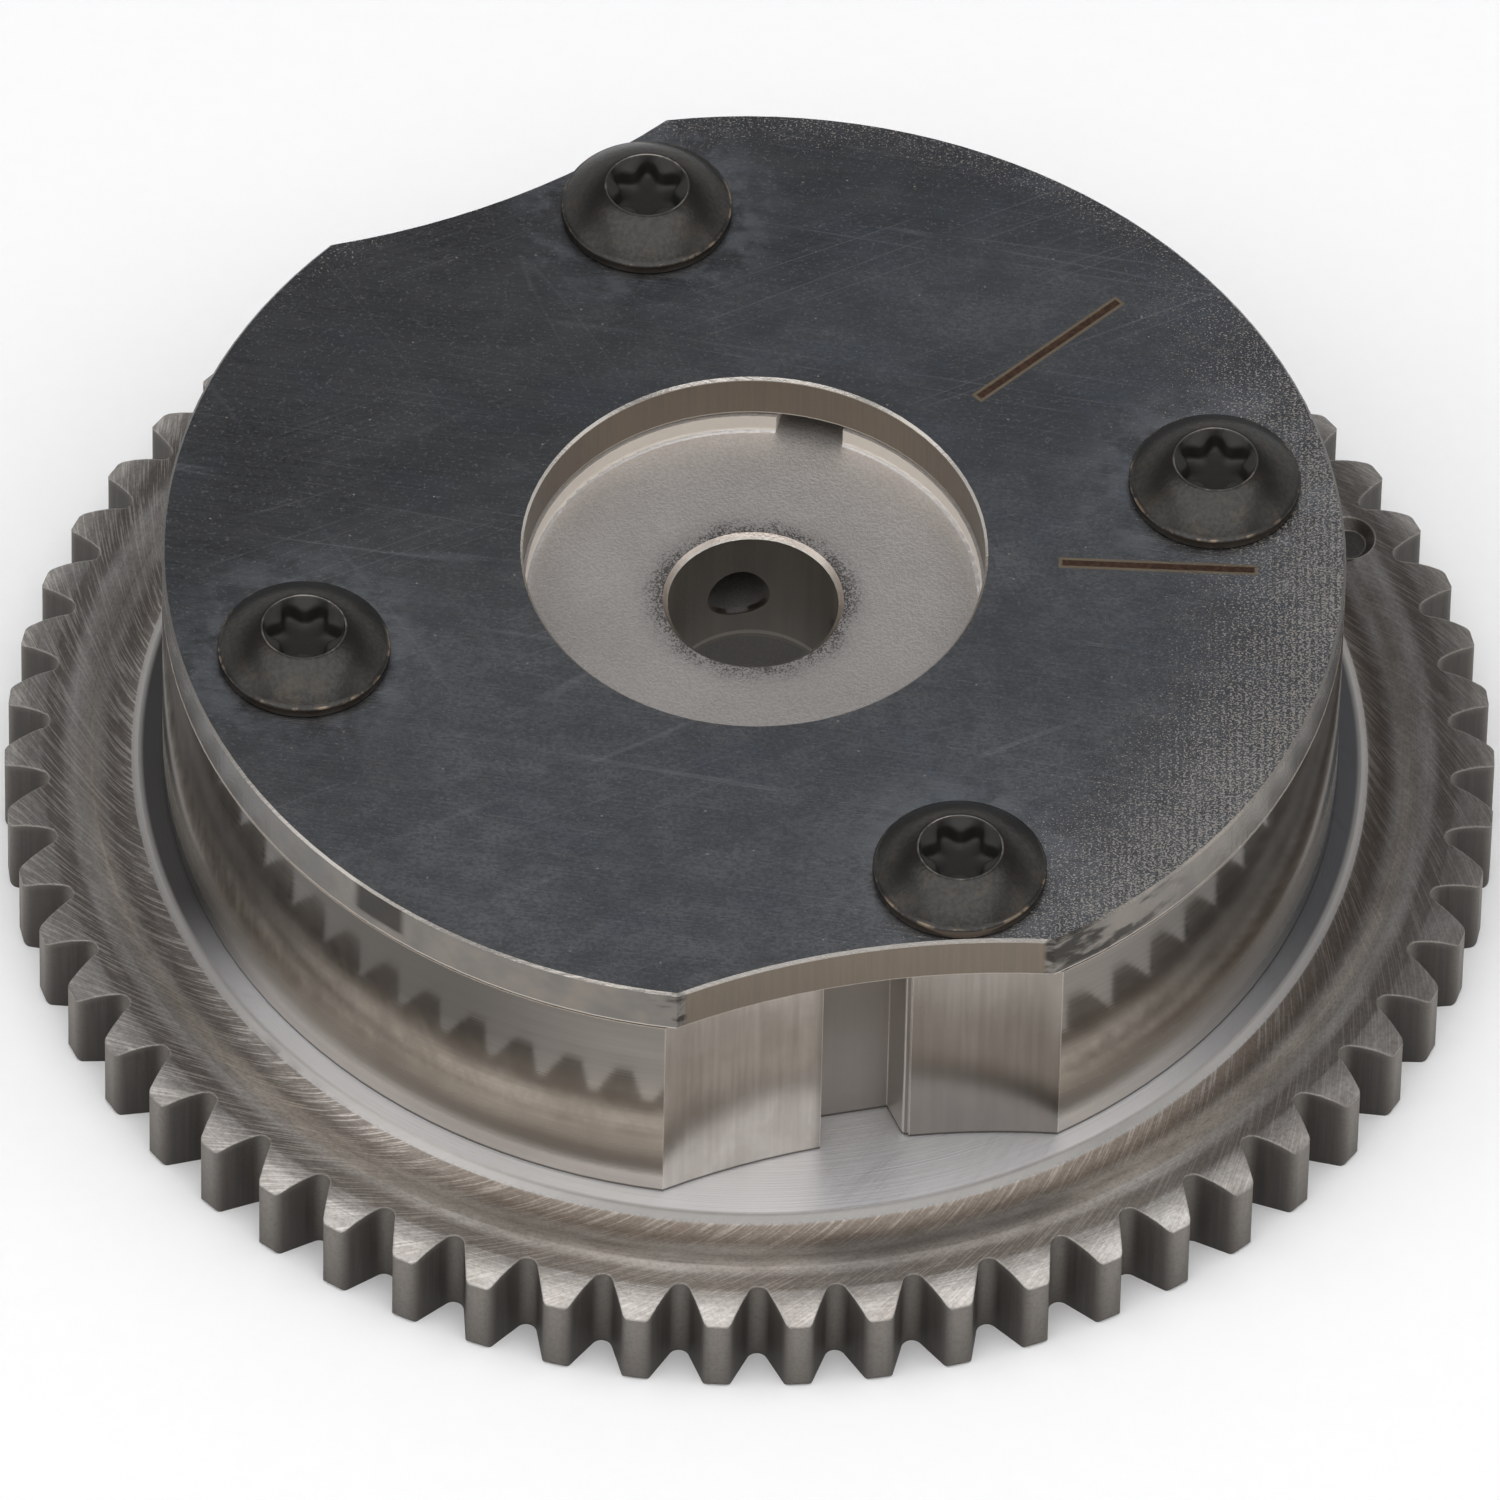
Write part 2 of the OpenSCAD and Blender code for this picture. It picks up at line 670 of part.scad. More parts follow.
module lock_spring() {
  sides = 8;
  rings_per_turn = 14;
  rings = ceil(spring_turns * rings_per_turn);
  points = [for (s = [0 : rings], k = [0 : sides - 1]) coil_point(s, k, rings, sides)];
  walls = [
    for (s = [0 : rings - 1], k = [0 : sides - 1])
      let (n = (k + 1) % sides)
        [s * sides + k, (s + 1) * sides + k, (s + 1) * sides + n, s * sides + n]
  ];
  first_end = [for (k = [0 : sides - 1]) k];
  last_end = [for (k = [sides - 1 : -1 : 0]) rings * sides + k];
  color("#8d9094") at_lock() polyhedron(points, concat(walls, [first_end, last_end]));
}

module spring_seat() {
  color("#8d9094") at_lock() difference() {
    upright(seat_plate_r, seat_plate_z, recess_z);
    upright(seat_vent_r, seat_plate_z - over, recess_z + over);
  }
}

sprocket();
lock_bush();
housing();
front_cover();
cover_screws();
rotor();
for (i = shoe_ids) {
  vane_seal(i);
  vane_seal_spring(i);
  shoe_seal(i);
  shoe_seal_spring(i);
}
lock_pin();
lock_spring();
spring_seat();
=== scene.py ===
import json
from math import atan2, cos, inf, pi, radians, sin
from types import SimpleNamespace

import bmesh
import bpy
from mathutils import Matrix, Vector


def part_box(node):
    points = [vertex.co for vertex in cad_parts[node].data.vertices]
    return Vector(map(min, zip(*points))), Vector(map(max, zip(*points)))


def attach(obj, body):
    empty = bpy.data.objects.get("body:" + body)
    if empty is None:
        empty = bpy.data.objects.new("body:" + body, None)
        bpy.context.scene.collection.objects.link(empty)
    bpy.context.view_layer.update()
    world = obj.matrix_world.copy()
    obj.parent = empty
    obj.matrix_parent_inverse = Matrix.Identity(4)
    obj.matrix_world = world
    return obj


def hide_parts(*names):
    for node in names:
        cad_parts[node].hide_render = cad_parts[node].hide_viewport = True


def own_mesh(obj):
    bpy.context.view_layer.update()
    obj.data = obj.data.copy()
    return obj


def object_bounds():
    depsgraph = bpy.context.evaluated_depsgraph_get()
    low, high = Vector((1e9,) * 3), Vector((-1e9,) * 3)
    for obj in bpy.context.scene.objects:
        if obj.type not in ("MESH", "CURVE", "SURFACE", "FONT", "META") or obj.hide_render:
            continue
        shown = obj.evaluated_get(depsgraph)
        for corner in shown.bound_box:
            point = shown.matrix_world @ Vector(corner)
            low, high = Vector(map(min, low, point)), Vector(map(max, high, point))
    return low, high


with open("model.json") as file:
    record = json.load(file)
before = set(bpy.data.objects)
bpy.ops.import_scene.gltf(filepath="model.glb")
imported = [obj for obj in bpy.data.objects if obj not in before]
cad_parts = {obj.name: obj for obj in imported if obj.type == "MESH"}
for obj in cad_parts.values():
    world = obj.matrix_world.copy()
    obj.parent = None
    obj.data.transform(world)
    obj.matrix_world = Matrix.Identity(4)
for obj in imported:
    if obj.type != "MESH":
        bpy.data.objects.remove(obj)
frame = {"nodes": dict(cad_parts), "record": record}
CAD_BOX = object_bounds()

bl_info = {
    "name": "Cam phaser finishes",
    "version": (1, 0, 0),
    "blender": (4, 5, 0),
    "location": "3D View > Sidebar > Phaser",
    "description": "Dresses the cam phaser's solids in their steels and sets the studio round them",
    "category": "Object",
}

MM = 0.001
MATH, VECTOR_MATH = "ShaderNodeMath", "ShaderNodeVectorMath"
# Edges sharper than this stay sharp on the smooth meshes
SHARP_ANGLE = radians(50.0)
# Place of the slotted notch, from the front and to the right
NOTCH_TURN = radians(12.2)
COVER_FOOT, COVER_TOP = (corner[2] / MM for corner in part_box("front_cover"))
HOUSING_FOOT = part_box("housing")[0][2] / MM


def linear(code):
    """The linear colour of an sRGB hex code."""
    shades = [int(code[i:i + 2], 16) / 255 for i in (1, 3, 5)]
    return [s / 12.92 if s <= 0.04045 else ((s + 0.055) / 1.055) ** 2.4 for s in shades] + [1.0]


def colour(name, description, code):
    """A colour that a user may change."""
    return bpy.props.FloatVectorProperty(name=name, description=description, subtype="COLOR", size=4,
                                         min=0.0, max=1.0, default=linear(code))


def length(name, description, millimetres):
    """A length that a user may change."""
    return bpy.props.FloatProperty(name=name, description=description, subtype="DISTANCE", unit="LENGTH",
                                   min=0.0, precision=5, default=millimetres * MM)


def angles(name, description, *degrees):
    """Angles that a user may change."""
    return bpy.props.FloatVectorProperty(name=name, description=description, subtype="EULER", size=len(degrees),
                                         default=[radians(d) for d in degrees])


class PhaserSizes(bpy.types.PropertyGroup):
    """Sizes of the pieces and patterns that the scene adds."""
    body_radius: length("Body radius", "Outer radius of the housing and the cover", 46.295)
    hole_radius: length("Hole radius", "Radius of the hole in the cover", 18.1)
    root_radius: length("Root radius", "Radius at the roots of the teeth", 55.295)
    lip_radius: length("Lip radius", "Outer radius of the seat's rounded lip", 48.695)
    bore_radius: length("Bore radius", "Radius of the bolt's bore", 6.7)
    bore_foot: length("Bore foot", "Height of the bolt bore's lower edge", 14.4)
    recess_radius: length("Recess radius", "Radius of the recess in the rotor's front", 17.9)
    recess_floor: length("Recess floor", "Height of the floor of the rotor's recess", 25.86)
    dimple_circle: length("Dimple circle", "Distance of the dimple from the axis", 52.695)
    dimple_radius: length("Dimple radius", "Radius of the dimple in the sprocket's face", 2.25)
    milled_radius: length("Milled radius", "Radius inside which the housing is left as milled", 41.7)
    edge: length("Worn edge", "Width of the bright line along a worn edge", 0.16)
    tooth_edge: length("Tooth edge", "Width of the tumbled edges of the teeth", 0.22)
    tip_edge: length("Tooth tips", "Width over which the teeth's tips are tumbled round", 1.2)
    coil_radius: length("Coil radius", "Radius of the lock spring's coil, to the middle of its wire", 2.25)
    wire_radius: length("Wire radius", "Radius of the lock spring's wire", 0.35)
    spring_turns: bpy.props.IntProperty(name="Spring turns", description="Turns of the lock spring", min=1,
                                        default=7)
    screw_circle: length("Screw circle", "Distance of the screws from the axis", 36.795)
    flange_radius: length("Flange radius", "Radius of a screw's flange", 6.75)
    flange_height: length("Flange height", "Height of the flange's side", 0.9)
    head_height: length("Head height", "Height of a screw's head", 3.1)
    rim_radius: length("Rim radius", "Radius of the rim round a screw's recess", 3.3)
    dome_bulge: length("Dome bulge", "Height of the dome's curve over a straight cone", 0.3)
    lobe_outer: length("Lobe outer radius", "Radius over the lobes of the recess", 2.95)
    lobe_inner: length("Lobe inner radius", "Radius between the lobes of the recess", 2.1)
    drive_depth: length("Recess depth", "Depth of the six-lobe recess", 2.0)
    thread_radius: length("Thread radius", "Radius of a screw's thread", 3.0)
    screw_length: length("Screw length", "Length of a screw under its head", 30.0)
    mark_start: length("Mark start", "Distance from the axis to the inner end of a timing mark", 24.0)
    mark_end: length("Mark end", "Distance from the axis to the outer end of a timing mark", 39.2)
    mark_width: length("Mark width", "Width of a timing mark", 0.72)
    dimple_angle: bpy.props.FloatProperty(name="Dimple angle", description="Place of the dimple round the axis",
                                          subtype="ANGLE", unit="ROTATION", default=radians(26.8))
    screw_angles: angles("Screw angles", "Place of each screw round the axis", 104.3, 12.4, 296.5, 198.5)
    screw_turns: angles("Screw turns", "How far each screw is turned in", 30.0, 30.0, 0.0, 0.0)
    mark_angles: angles("Mark angles", "Place of each timing mark round the axis", 43.83, -1.33)


class PhaserColours(bpy.types.PropertyGroup):
    """Colours of the finishes."""
    # Also painted shade on the cover's rim and on the sides of the seat
    blue_dark: colour("Blued steel, dark", "The cover where its oxide is thickest", "#595b5e")
    blue_mid: colour("Blued steel", "The cover's main tone", "#7c7e80")
    # Also painted light towards the cover's front
    blue_pale: colour("Blued steel, pale", "The cover where it is rubbed", "#9a9b9d")
    blue_stain: colour("Blue stain", "Heat stains on the cover", "#66707c")
    # Dried oil, and a painted reflection of the screws' flanges on the cover
    dried_oil_and_reflection: colour("Dried oil", "Pale bloom of dried oil round the screws", "#9a9fa5")
    scratch: colour("Scratch", "Fine scratches on the cover", "#b4b6ba")
    sparkle: colour("Bare grains", "Grains on the cover where the oxide has gone", "#c8c0b6")
    mark_core: colour("Timing mark", "Burnt line of a timing mark", "#574338")
    mark_rim: colour("Timing mark's rim", "Tan outline of a timing mark", "#9c8d78")
    # Worn steel along the edges, and painted highlights on edges and on faces
    worn_edge_and_highlight: colour("Cut edge", "Worn steel along the edges", "#e0dad2")
    sawn_face: colour("Blanked face", "Side faces of the cover, brown with oil", "#817669")
    rim_steel: colour("Turned rim", "The cover's outer rim", "#88827a")
    wall_pale: colour("Ground wall", "Housing wall", "#b9b2a9")
    wall_dark: colour("Ground wall, oiled", "Brown film on the housing wall", "#8a8278")
    # Painted shade: a dark reflection on the upper housing wall, and shade on the notch walls to the right
    painted_wall_shade: colour("Ground wall, upper", "Dark film on the wall under the cover", "#4d4945")
    notch_steel: colour("Notch steel", "Bright walls of the notches", "#b8b1a9")
    milled: colour("Milled slot", "Dull faces of the slot", "#767069")
    # Oil in the corners and the timing marks, and painted shade and dark reflections on the cover and at the
    # housing's foot
    grime_and_shade: colour("Grime", "Oil gathered in the corners", "#2b2825")
    seat_steel: colour("Seat steel", "Turned seat of the housing", "#dddde0")
    lip: colour("Seat lip", "Rounded lip of the seat", "#8c8a87")
    valley: colour("Heat tint", "Brown valley outside the seat", "#6d6258")
    face: colour("Sprocket face", "Brushed face of the sprocket", "#b2afac")
    face_pale: colour("Sprocket face, rubbed", "Brush marks on the sprocket's face", "#d9d5d1")
    crown: colour("Tooth crown", "Front slopes of the teeth", "#c2beb9")
    # One steel with the land, in a painted shaded tone; also painted shade on the face and in the dimple, and
    # dark pores
    flank: colour("Tooth flank", "Flanks of the teeth", "#35312f")
    land: colour("Tooth land", "Tops of the teeth", "#7c7771")
    sinter: colour("Sintered steel", "The rotor's matte grain", "#cbc7c4")
    # Also painted shade towards the rotor's front
    sinter_dark: colour("Sintered pores", "Pores and handling marks on the rotor", "#7c7773")
    dust: colour("Rubbed dust", "Dark flecks round the bolt's bore", "#4a4744")
    # Turned steel, and painted light at the bore's lower edge and on the housing wall's flanks
    brim: colour("Recess wall", "Turned wall of the rotor's recess", "#f4eee6")
    chamfer: colour("Bore chamfer", "Cut chamfer of the bolt's bore", "#c9bdb3")
    bore: colour("Bore", "Reamed bolt bore", "#cdc7be")
    # Also painted shade on the cover's left back corner and on the sides of the seat
    oxide: colour("Black oxide", "The screws' finish", "#403f3d")
    oxide_dark: colour("Black oxide, deep", "The screws' recesses", "#252422")
    oxide_recess: colour("Black oxide, recess", "Dusty recesses of the screws", "#2c2b29")
    oxide_worn: colour("Black oxide, worn", "The screws' rubbed edges", "#90806f")
    oxide_brown: colour("Black oxide, brown", "Sides of the screws' flanges", "#554a40")
    hardened: colour("Hardened steel", "Lock pin and its seats", "#a8a8a8")
    spring: colour("Spring steel", "Springs", "#8e9097")
    seal: colour("Filled polymer", "Seals", "#4b3d33")
    floor: colour("Floor", "The studio's floor", "#fefefe")


def add(tree, kind, inputs=(), **settings):
    """Adds a node with its settings, feeds its inputs links or values, and returns its first live output."""
    node = tree.nodes.new(kind)
    for name, value in settings.items():
        setattr(node, name, value)
    for key, value in inputs.items() if isinstance(inputs, dict) else enumerate(inputs):
        if isinstance(value, bpy.types.NodeSocket):
            tree.links.new(value, node.inputs[key])
        elif value is not None:
            node.inputs[key].default_value = value
    return next((out for out in node.outputs if out.enabled), None)


def places(tree):
    """Where a point lies in millimetres, which way is out, and how far its face looks up and out."""
    at = add(tree, "ShaderNodeTexCoord").node.outputs
    point = add(tree, VECTOR_MATH, {0: at["Object"], "Scale": 1 / MM}, operation="SCALE")
    x, y, z = add(tree, "ShaderNodeSeparateXYZ", [point]).node.outputs
    level = add(tree, "ShaderNodeCombineXYZ", [x, y])
    radius = add(tree, VECTOR_MATH, [level], operation="LENGTH")
    front = add(tree, MATH, [y, -1.0], operation="MULTIPLY")
    turn = add(tree, MATH, [x, front], operation="ARCTAN2")
    up = add(tree, "ShaderNodeSeparateXYZ", [at["Normal"]]).node.outputs["Z"]
    spoke = add(tree, VECTOR_MATH, [level], operation="NORMALIZE")
    out = add(tree, VECTOR_MATH, [at["Normal"], spoke], operation="DOT_PRODUCT")
    return SimpleNamespace(point=point, x=x, y=y, z=z, level=level, radius=radius, turn=turn,
                           normal=at["Normal"], up=up, out=out, spoke=spoke)


def new_finish(name, metallic, roughness):
    """A material, its node tree, its shader's inputs and where its points lie."""
    material = bpy.data.materials.new(name)
    material.use_nodes = True
    shader = material.node_tree.nodes["Principled BSDF"]
    shader.inputs["Metallic"].default_value = metallic
    shader.inputs["Roughness"].default_value = roughness
    return material, material.node_tree, shader.inputs, places(material.node_tree)


def from_notch(tree, at, start, end):
    """Mask that grows from 0 to 1 between two angles from the slotted notch, in degrees."""
    off = add(tree, MATH, [at.turn, NOTCH_TURN], operation="SUBTRACT")
    off = add(tree, MATH, [off], operation="ABSOLUTE")
    return where(tree, (off, radians(start), radians(end)))


def swept(tree, at, start, end):
    """Mask that grows from 0 to 1 between two angles from the front, in degrees and to the right."""
    return where(tree, (at.turn, radians(start), radians(end)))


def round_the_axis(tree, at, radius):
    """A point unrolled round the axis: arc at that radius, distance from the axis and height."""
    arc = add(tree, MATH, [at.turn, radius], operation="MULTIPLY")
    return add(tree, "ShaderNodeCombineXYZ", [arc, at.radius, at.z])


def cells(tree, point, size, turn):
    """A point turned about z by that many degrees, and counted in cells of that size in millimetres."""
    turned = add(tree, "ShaderNodeMapping", {"Vector": point, "Rotation": (0.0, 0.0, radians(turn))},
                 vector_type="POINT")
    return add(tree, VECTOR_MATH, [turned, [1 / s for s in size]], operation="MULTIPLY")


def grain(tree, point, size, low, high, detail, turn=0.0):
    """Noise with grains of that size in millimetres, stretched so that low gives 0 and high gives 1."""
    noise = add(tree, "ShaderNodeTexNoise", {"Vector": cells(tree, point, size, turn), "Scale": 1.0,
                                             "Detail": detail, "Roughness": 0.6})
    return where(tree, (noise, low, high))


def hairlines(tree, point, size, width, turn):
    """Long faint scratches that wander over cells of that size in millimetres, turned that far."""
    noise = add(tree, "ShaderNodeTexNoise", {"Vector": cells(tree, point, size, turn), "Scale": 1.0,
                                             "Detail": 0.0})
    middle = add(tree, MATH, [noise, 0.5], operation="SUBTRACT")
    off = add(tree, MATH, [middle], operation="ABSOLUTE")
    return where(tree, (off, width, 0.0))


def pits(tree, point, size, reach, turn):
    """Small bright pits, one in each cell of that size in millimetres, with that share of it."""
    far = add(tree, "ShaderNodeTexVoronoi", {"Vector": cells(tree, point, size, turn), "Scale": 1.0},
              voronoi_dimensions="2D")
    return where(tree, (far, reach, reach * 0.3))


def overlap(tree, first, *others):
    """What several masks or shares have in common, their product."""
    for other in others:
        first = add(tree, MATH, [first, other], operation="MULTIPLY")
    return first


def where(tree, *limits):
    """Mask that is 1 where each measure has passed softly from its first value to its second."""
    return overlap(tree, *(add(tree, "ShaderNodeMapRange", limit, interpolation_type="SMOOTHSTEP")
                           for limit in limits))


def either(tree, first, *others):
    """The greatest of several masks."""
    for other in others:
        first = add(tree, MATH, [first, other], operation="MAXIMUM")
    return first


def coats(tree, under, *layers):
    """Colours or directions laid over each other, each after the masks and shares that it shows by."""
    for *masks, over in layers:
        under = add(tree, "ShaderNodeMix", {0: overlap(tree, *masks), 6: under, 7: over}, data_type="RGBA")
    return under


def levels(tree, under, *layers):
    """Numbers laid over each other, each after the masks and shares that it counts by."""
    for *masks, over in layers:
        under = add(tree, "ShaderNodeMix", {0: overlap(tree, *masks), 2: under, 3: over}, data_type="FLOAT")
    return under


def rounded_edges(tree, width):
    """The normal with its edges eased, and a mask that is 1 along them."""
    eased = add(tree, "ShaderNodeBevel", {"Radius": width}, samples=2)
    face = add(tree, "ShaderNodeNewGeometry").node.outputs["True Normal"]
    alike = add(tree, VECTOR_MATH, [eased, face], operation="DOT_PRODUCT")
    return eased, where(tree, (alike, 0.97, 0.86))


def relief(tree, shader, height, depth, normal=None):
    """Bump of that depth in millimetres."""
    bump = add(tree, "ShaderNodeBump", {"Height": height, "Distance": depth * MM, "Normal": normal})
    tree.links.new(bump, shader["Normal"])


def timing_marks(tree, at, sizes, spare):
    """Mask of the timing marks, each grown by that many millimetres."""
    half, soft, end_soft = sizes.mark_width / MM / 2 + spare, 0.06, 0.1
    start, end = sizes.mark_start / MM - spare, sizes.mark_end / MM + spare
    marks = []
    for angle in sizes.mark_angles:
        turned = add(tree, "ShaderNodeMapping", {"Vector": at.point, "Rotation": (0.0, 0.0, -angle)},
                     vector_type="POINT")
        along, across, _ = add(tree, "ShaderNodeSeparateXYZ", [turned]).node.outputs
        off = add(tree, MATH, [across], operation="ABSOLUTE")
        marks.append(where(tree, (off, half + soft, half - soft), (along, start - end_soft, start + end_soft),
                           (along, end + end_soft, end - end_soft)))
    return either(tree, *marks)


def from_screws(tree, at, sizes):
    """Distance from the nearest screw's axis, in millimetres."""
    circle = sizes.screw_circle / MM
    nearest = None
    for angle in sizes.screw_angles:
        far = add(tree, VECTOR_MATH, [at.level, (circle * cos(angle), circle * sin(angle), 0.0)],
                  operation="DISTANCE")
        nearest = add(tree, MATH, [nearest, far], operation="MINIMUM") if nearest else far
    return nearest


def bare_grains(tree, at, body):
    """Grains of bare steel: few over the cover, crowded and in rows towards its rim on one side."""
    # Grains are 0.17 mm across, in rows 0.6 mm apart
    row_spacing = 0.6
    specks = grain(tree, at.point, (0.17, 0.14, 0.17), 0.1, 0.9, 1.0)
    aside = add(tree, VECTOR_MATH, [at.point, (0.95, -0.3, 0.0)], operation="DOT_PRODUCT")
    crowd = where(tree, (aside, 8.0, 45.0), (at.radius, body - 21.0, body - 1.0))
    back = overlap(tree, where(tree, (at.y, 12.0, 40.0), (at.radius, body - 6.0, body)), 0.6)
    crowd = either(tree, crowd, back)
    across = add(tree, MATH, [at.x, 2 * pi / row_spacing], operation="MULTIPLY")
    rows = add(tree, MATH, [across], operation="SINE")
    shown = add(tree, MATH, [overlap(tree, crowd, 0.4), overlap(tree, rows, crowd, 0.07)], operation="ADD")
    shown = add(tree, MATH, [shown, specks], operation="ADD")
    return where(tree, (shown, 0.9, 1.0))


def blued_steel(look, sizes):
    """The cover: cold-rolled steel plate, ground crosswise and heat-blued."""
    # Ground plate shows fine crossing lines and soft dark clouds, and glints where the oxide has worn off
    material, tree, shader, at = new_finish("ground_blued_steel", 1.0, 0.34)
    body, hole = sizes.body_radius / MM, sizes.hole_radius / MM
    top = where(tree, (at.up, 0.9, 0.98))
    bevel = where(tree, (at.up, 0.3, 0.45), (at.up, 0.97, 0.9))
    outer = where(tree, (at.radius, body - 0.5, body - 0.25), (at.out, 0.62, 0.68))
    # Clouds of thicker oxide are about 15 mm across, with mottling of 3 mm and a tooth of 0.3 mm in them
    clouds = grain(tree, at.point, (16.0, 12.0, 12.0), 0.34, 0.66, 3.0)
    mottle = grain(tree, at.point, (3.5, 2.5, 3.0), 0.3, 0.7, 2.0)
    tooth = grain(tree, at.point, (0.34, 0.26, 0.3), 0.38, 0.62, 2.0)
    glints = grain(tree, at.point, (0.26, 0.2, 0.3), 0.55, 0.8, 2.0)
    # Painted light and shade: the top is painted lighter towards the front and darker towards its left back
    # corner
    rubbed = where(tree, (at.y, 34.0, -38.0))
    corner = add(tree, VECTOR_MATH, [at.point, (-0.85, 0.5, 0.0)], operation="DOT_PRODUCT")
    shaded_left_back = where(tree, (corner, 0.0, 40.0))
    # Grinding lines lie 0.05 mm apart, and are drawn 0.2 mm apart so that they show
    ground = grain(tree, at.point, (9.0, 0.2, 5.0), 0.35, 0.65, 1.0, 7.0)
    crossed = grain(tree, at.point, (8.0, 0.2, 5.0), 0.4, 0.7, 1.0, -26.0)
    stains = grain(tree, at.point, (9.0, 5.0, 7.0), 0.5, 0.7, 3.0, 25.0)
    patchy = grain(tree, at.point, (11.0, 9.0, 9.0), 0.4, 0.62, 2.0, -30.0)
    scuffs = [hairlines(tree, at.point, (150.0, 2.6, 90.0), 0.014, 11.0),
              hairlines(tree, at.point, (130.0, 2.9, 90.0), 0.012, -27.0),
              hairlines(tree, at.point, (110.0, 6.0, 90.0), 0.006, 63.0)]
    dots = pits(tree, at.point, (9.5, 7.7, inf), 0.014, 17.0)
    bare = bare_grains(tree, at, body)
    # A patchy pale bloom about 6 mm wide round each screw: dried oil, and a painted reflection of the screws'
    # flanges
    bloom = overlap(tree, where(tree, (from_screws(tree, at, sizes), 13.0, 7.0)),
                    grain(tree, at.point, (3.0, 2.5, 3.0), 0.38, 0.64, 3.0))
    steel = coats(tree, look.blue_dark, (clouds, look.blue_mid), (rubbed, 0.5, look.blue_pale),
                  (mottle, 0.55, look.blue_dark), (stains, 0.5, look.blue_stain), (shaded_left_back, 0.6, look.oxide),
                  (ground, 0.08, look.blue_pale), (crossed, patchy, 0.12, look.blue_pale),
                  (tooth, 0.6, look.blue_dark), (glints, 0.7, look.blue_pale), (bloom, 0.42, look.dried_oil_and_reflection),
                  (scuffs[0], patchy, 0.2, look.scratch), (scuffs[1], patchy, 0.2, look.scratch),
                  (scuffs[2], clouds, 0.1, look.scratch), (dots, 0.8, look.sparkle), (bare, 0.6, look.sparkle))
    core, rim = timing_marks(tree, at, sizes, -0.06), timing_marks(tree, at, sizes, 0.18)
    steel = coats(tree, steel, (rim, 0.9, look.mark_rim), (core, look.mark_core),
                  (core, tooth, 0.5, look.grime_and_shade))
    # Blanked faces carry upright streaks about 0.25 mm wide
    upright = grain(tree, at.point, (0.25, 0.25, 9.0), 0.3, 0.7, 2.0)
    # Painted highlights, over worn steel, run along the walls' lower and upper edges
    foot = where(tree, (at.z, COVER_FOOT + 0.36, COVER_FOOT + 0.2))
    brink = where(tree, (at.z, COVER_TOP - 0.34, COVER_TOP - 0.2))
    # The rim has painted dark reflections in patches beside the front notch, and painted shade further round
    dark_reflection_patches = overlap(tree, swept(tree, at, -10.0, -6.5), swept(tree, at, 52.0, 38.0),
                      grain(tree, round_the_axis(tree, at, body), (3.5, 3.0, 1.5), 0.46, 0.6, 3.0))
    patch = overlap(tree, swept(tree, at, -41.3, -40.1), swept(tree, at, -34.4, -35.6),
                    where(tree, (at.z, COVER_FOOT + 0.9, COVER_FOOT + 1.4)))
    dark_reflection_patches = either(tree, dark_reflection_patches, patch)
    aside = from_notch(tree, at, 40.0, 78.0)
    # Painted highlight lights the chamfer at the front and round the hole
    front = where(tree, (at.y, -8.0, -32.0), (at.x, 21.5, 19.5))
    worn = either(tree, front, where(tree, (at.radius, hole + 1.0, hole + 0.6)))
    turned_rim = coats(tree, look.rim_steel, (mottle, 0.4, look.blue_dark), (aside, 0.6, look.blue_dark),
                       (dark_reflection_patches, 0.85, look.grime_and_shade), (foot, 0.85, look.worn_edge_and_highlight))
    walls = coats(tree, look.sawn_face, (upright, 0.2, look.blue_dark),
                  (either(tree, brink, foot), 0.85, look.worn_edge_and_highlight), (outer, turned_rim))
    # Painted shade darkens the chamfer away from the notch
    finish = coats(tree, walls, (top, steel), (bevel, aside, 0.6, look.grime_and_shade),
                   (bevel, levels(tree, 0.06, (worn, 0.42)), look.worn_edge_and_highlight))
    tree.links.new(finish, shader["Base Color"])
    rough = levels(tree, 0.36, (outer, 0.2), (top, 0.33), (top, tooth, 0.5, 0.42), (bare, top, 0.5),
                   (core, top, 0.6), (bevel, 0.25))
    tree.links.new(rough, shader["Roughness"])
    height = add(tree, MATH, [ground, tooth], operation="ADD")
    relief(tree, shader, height, 0.004)
    return material


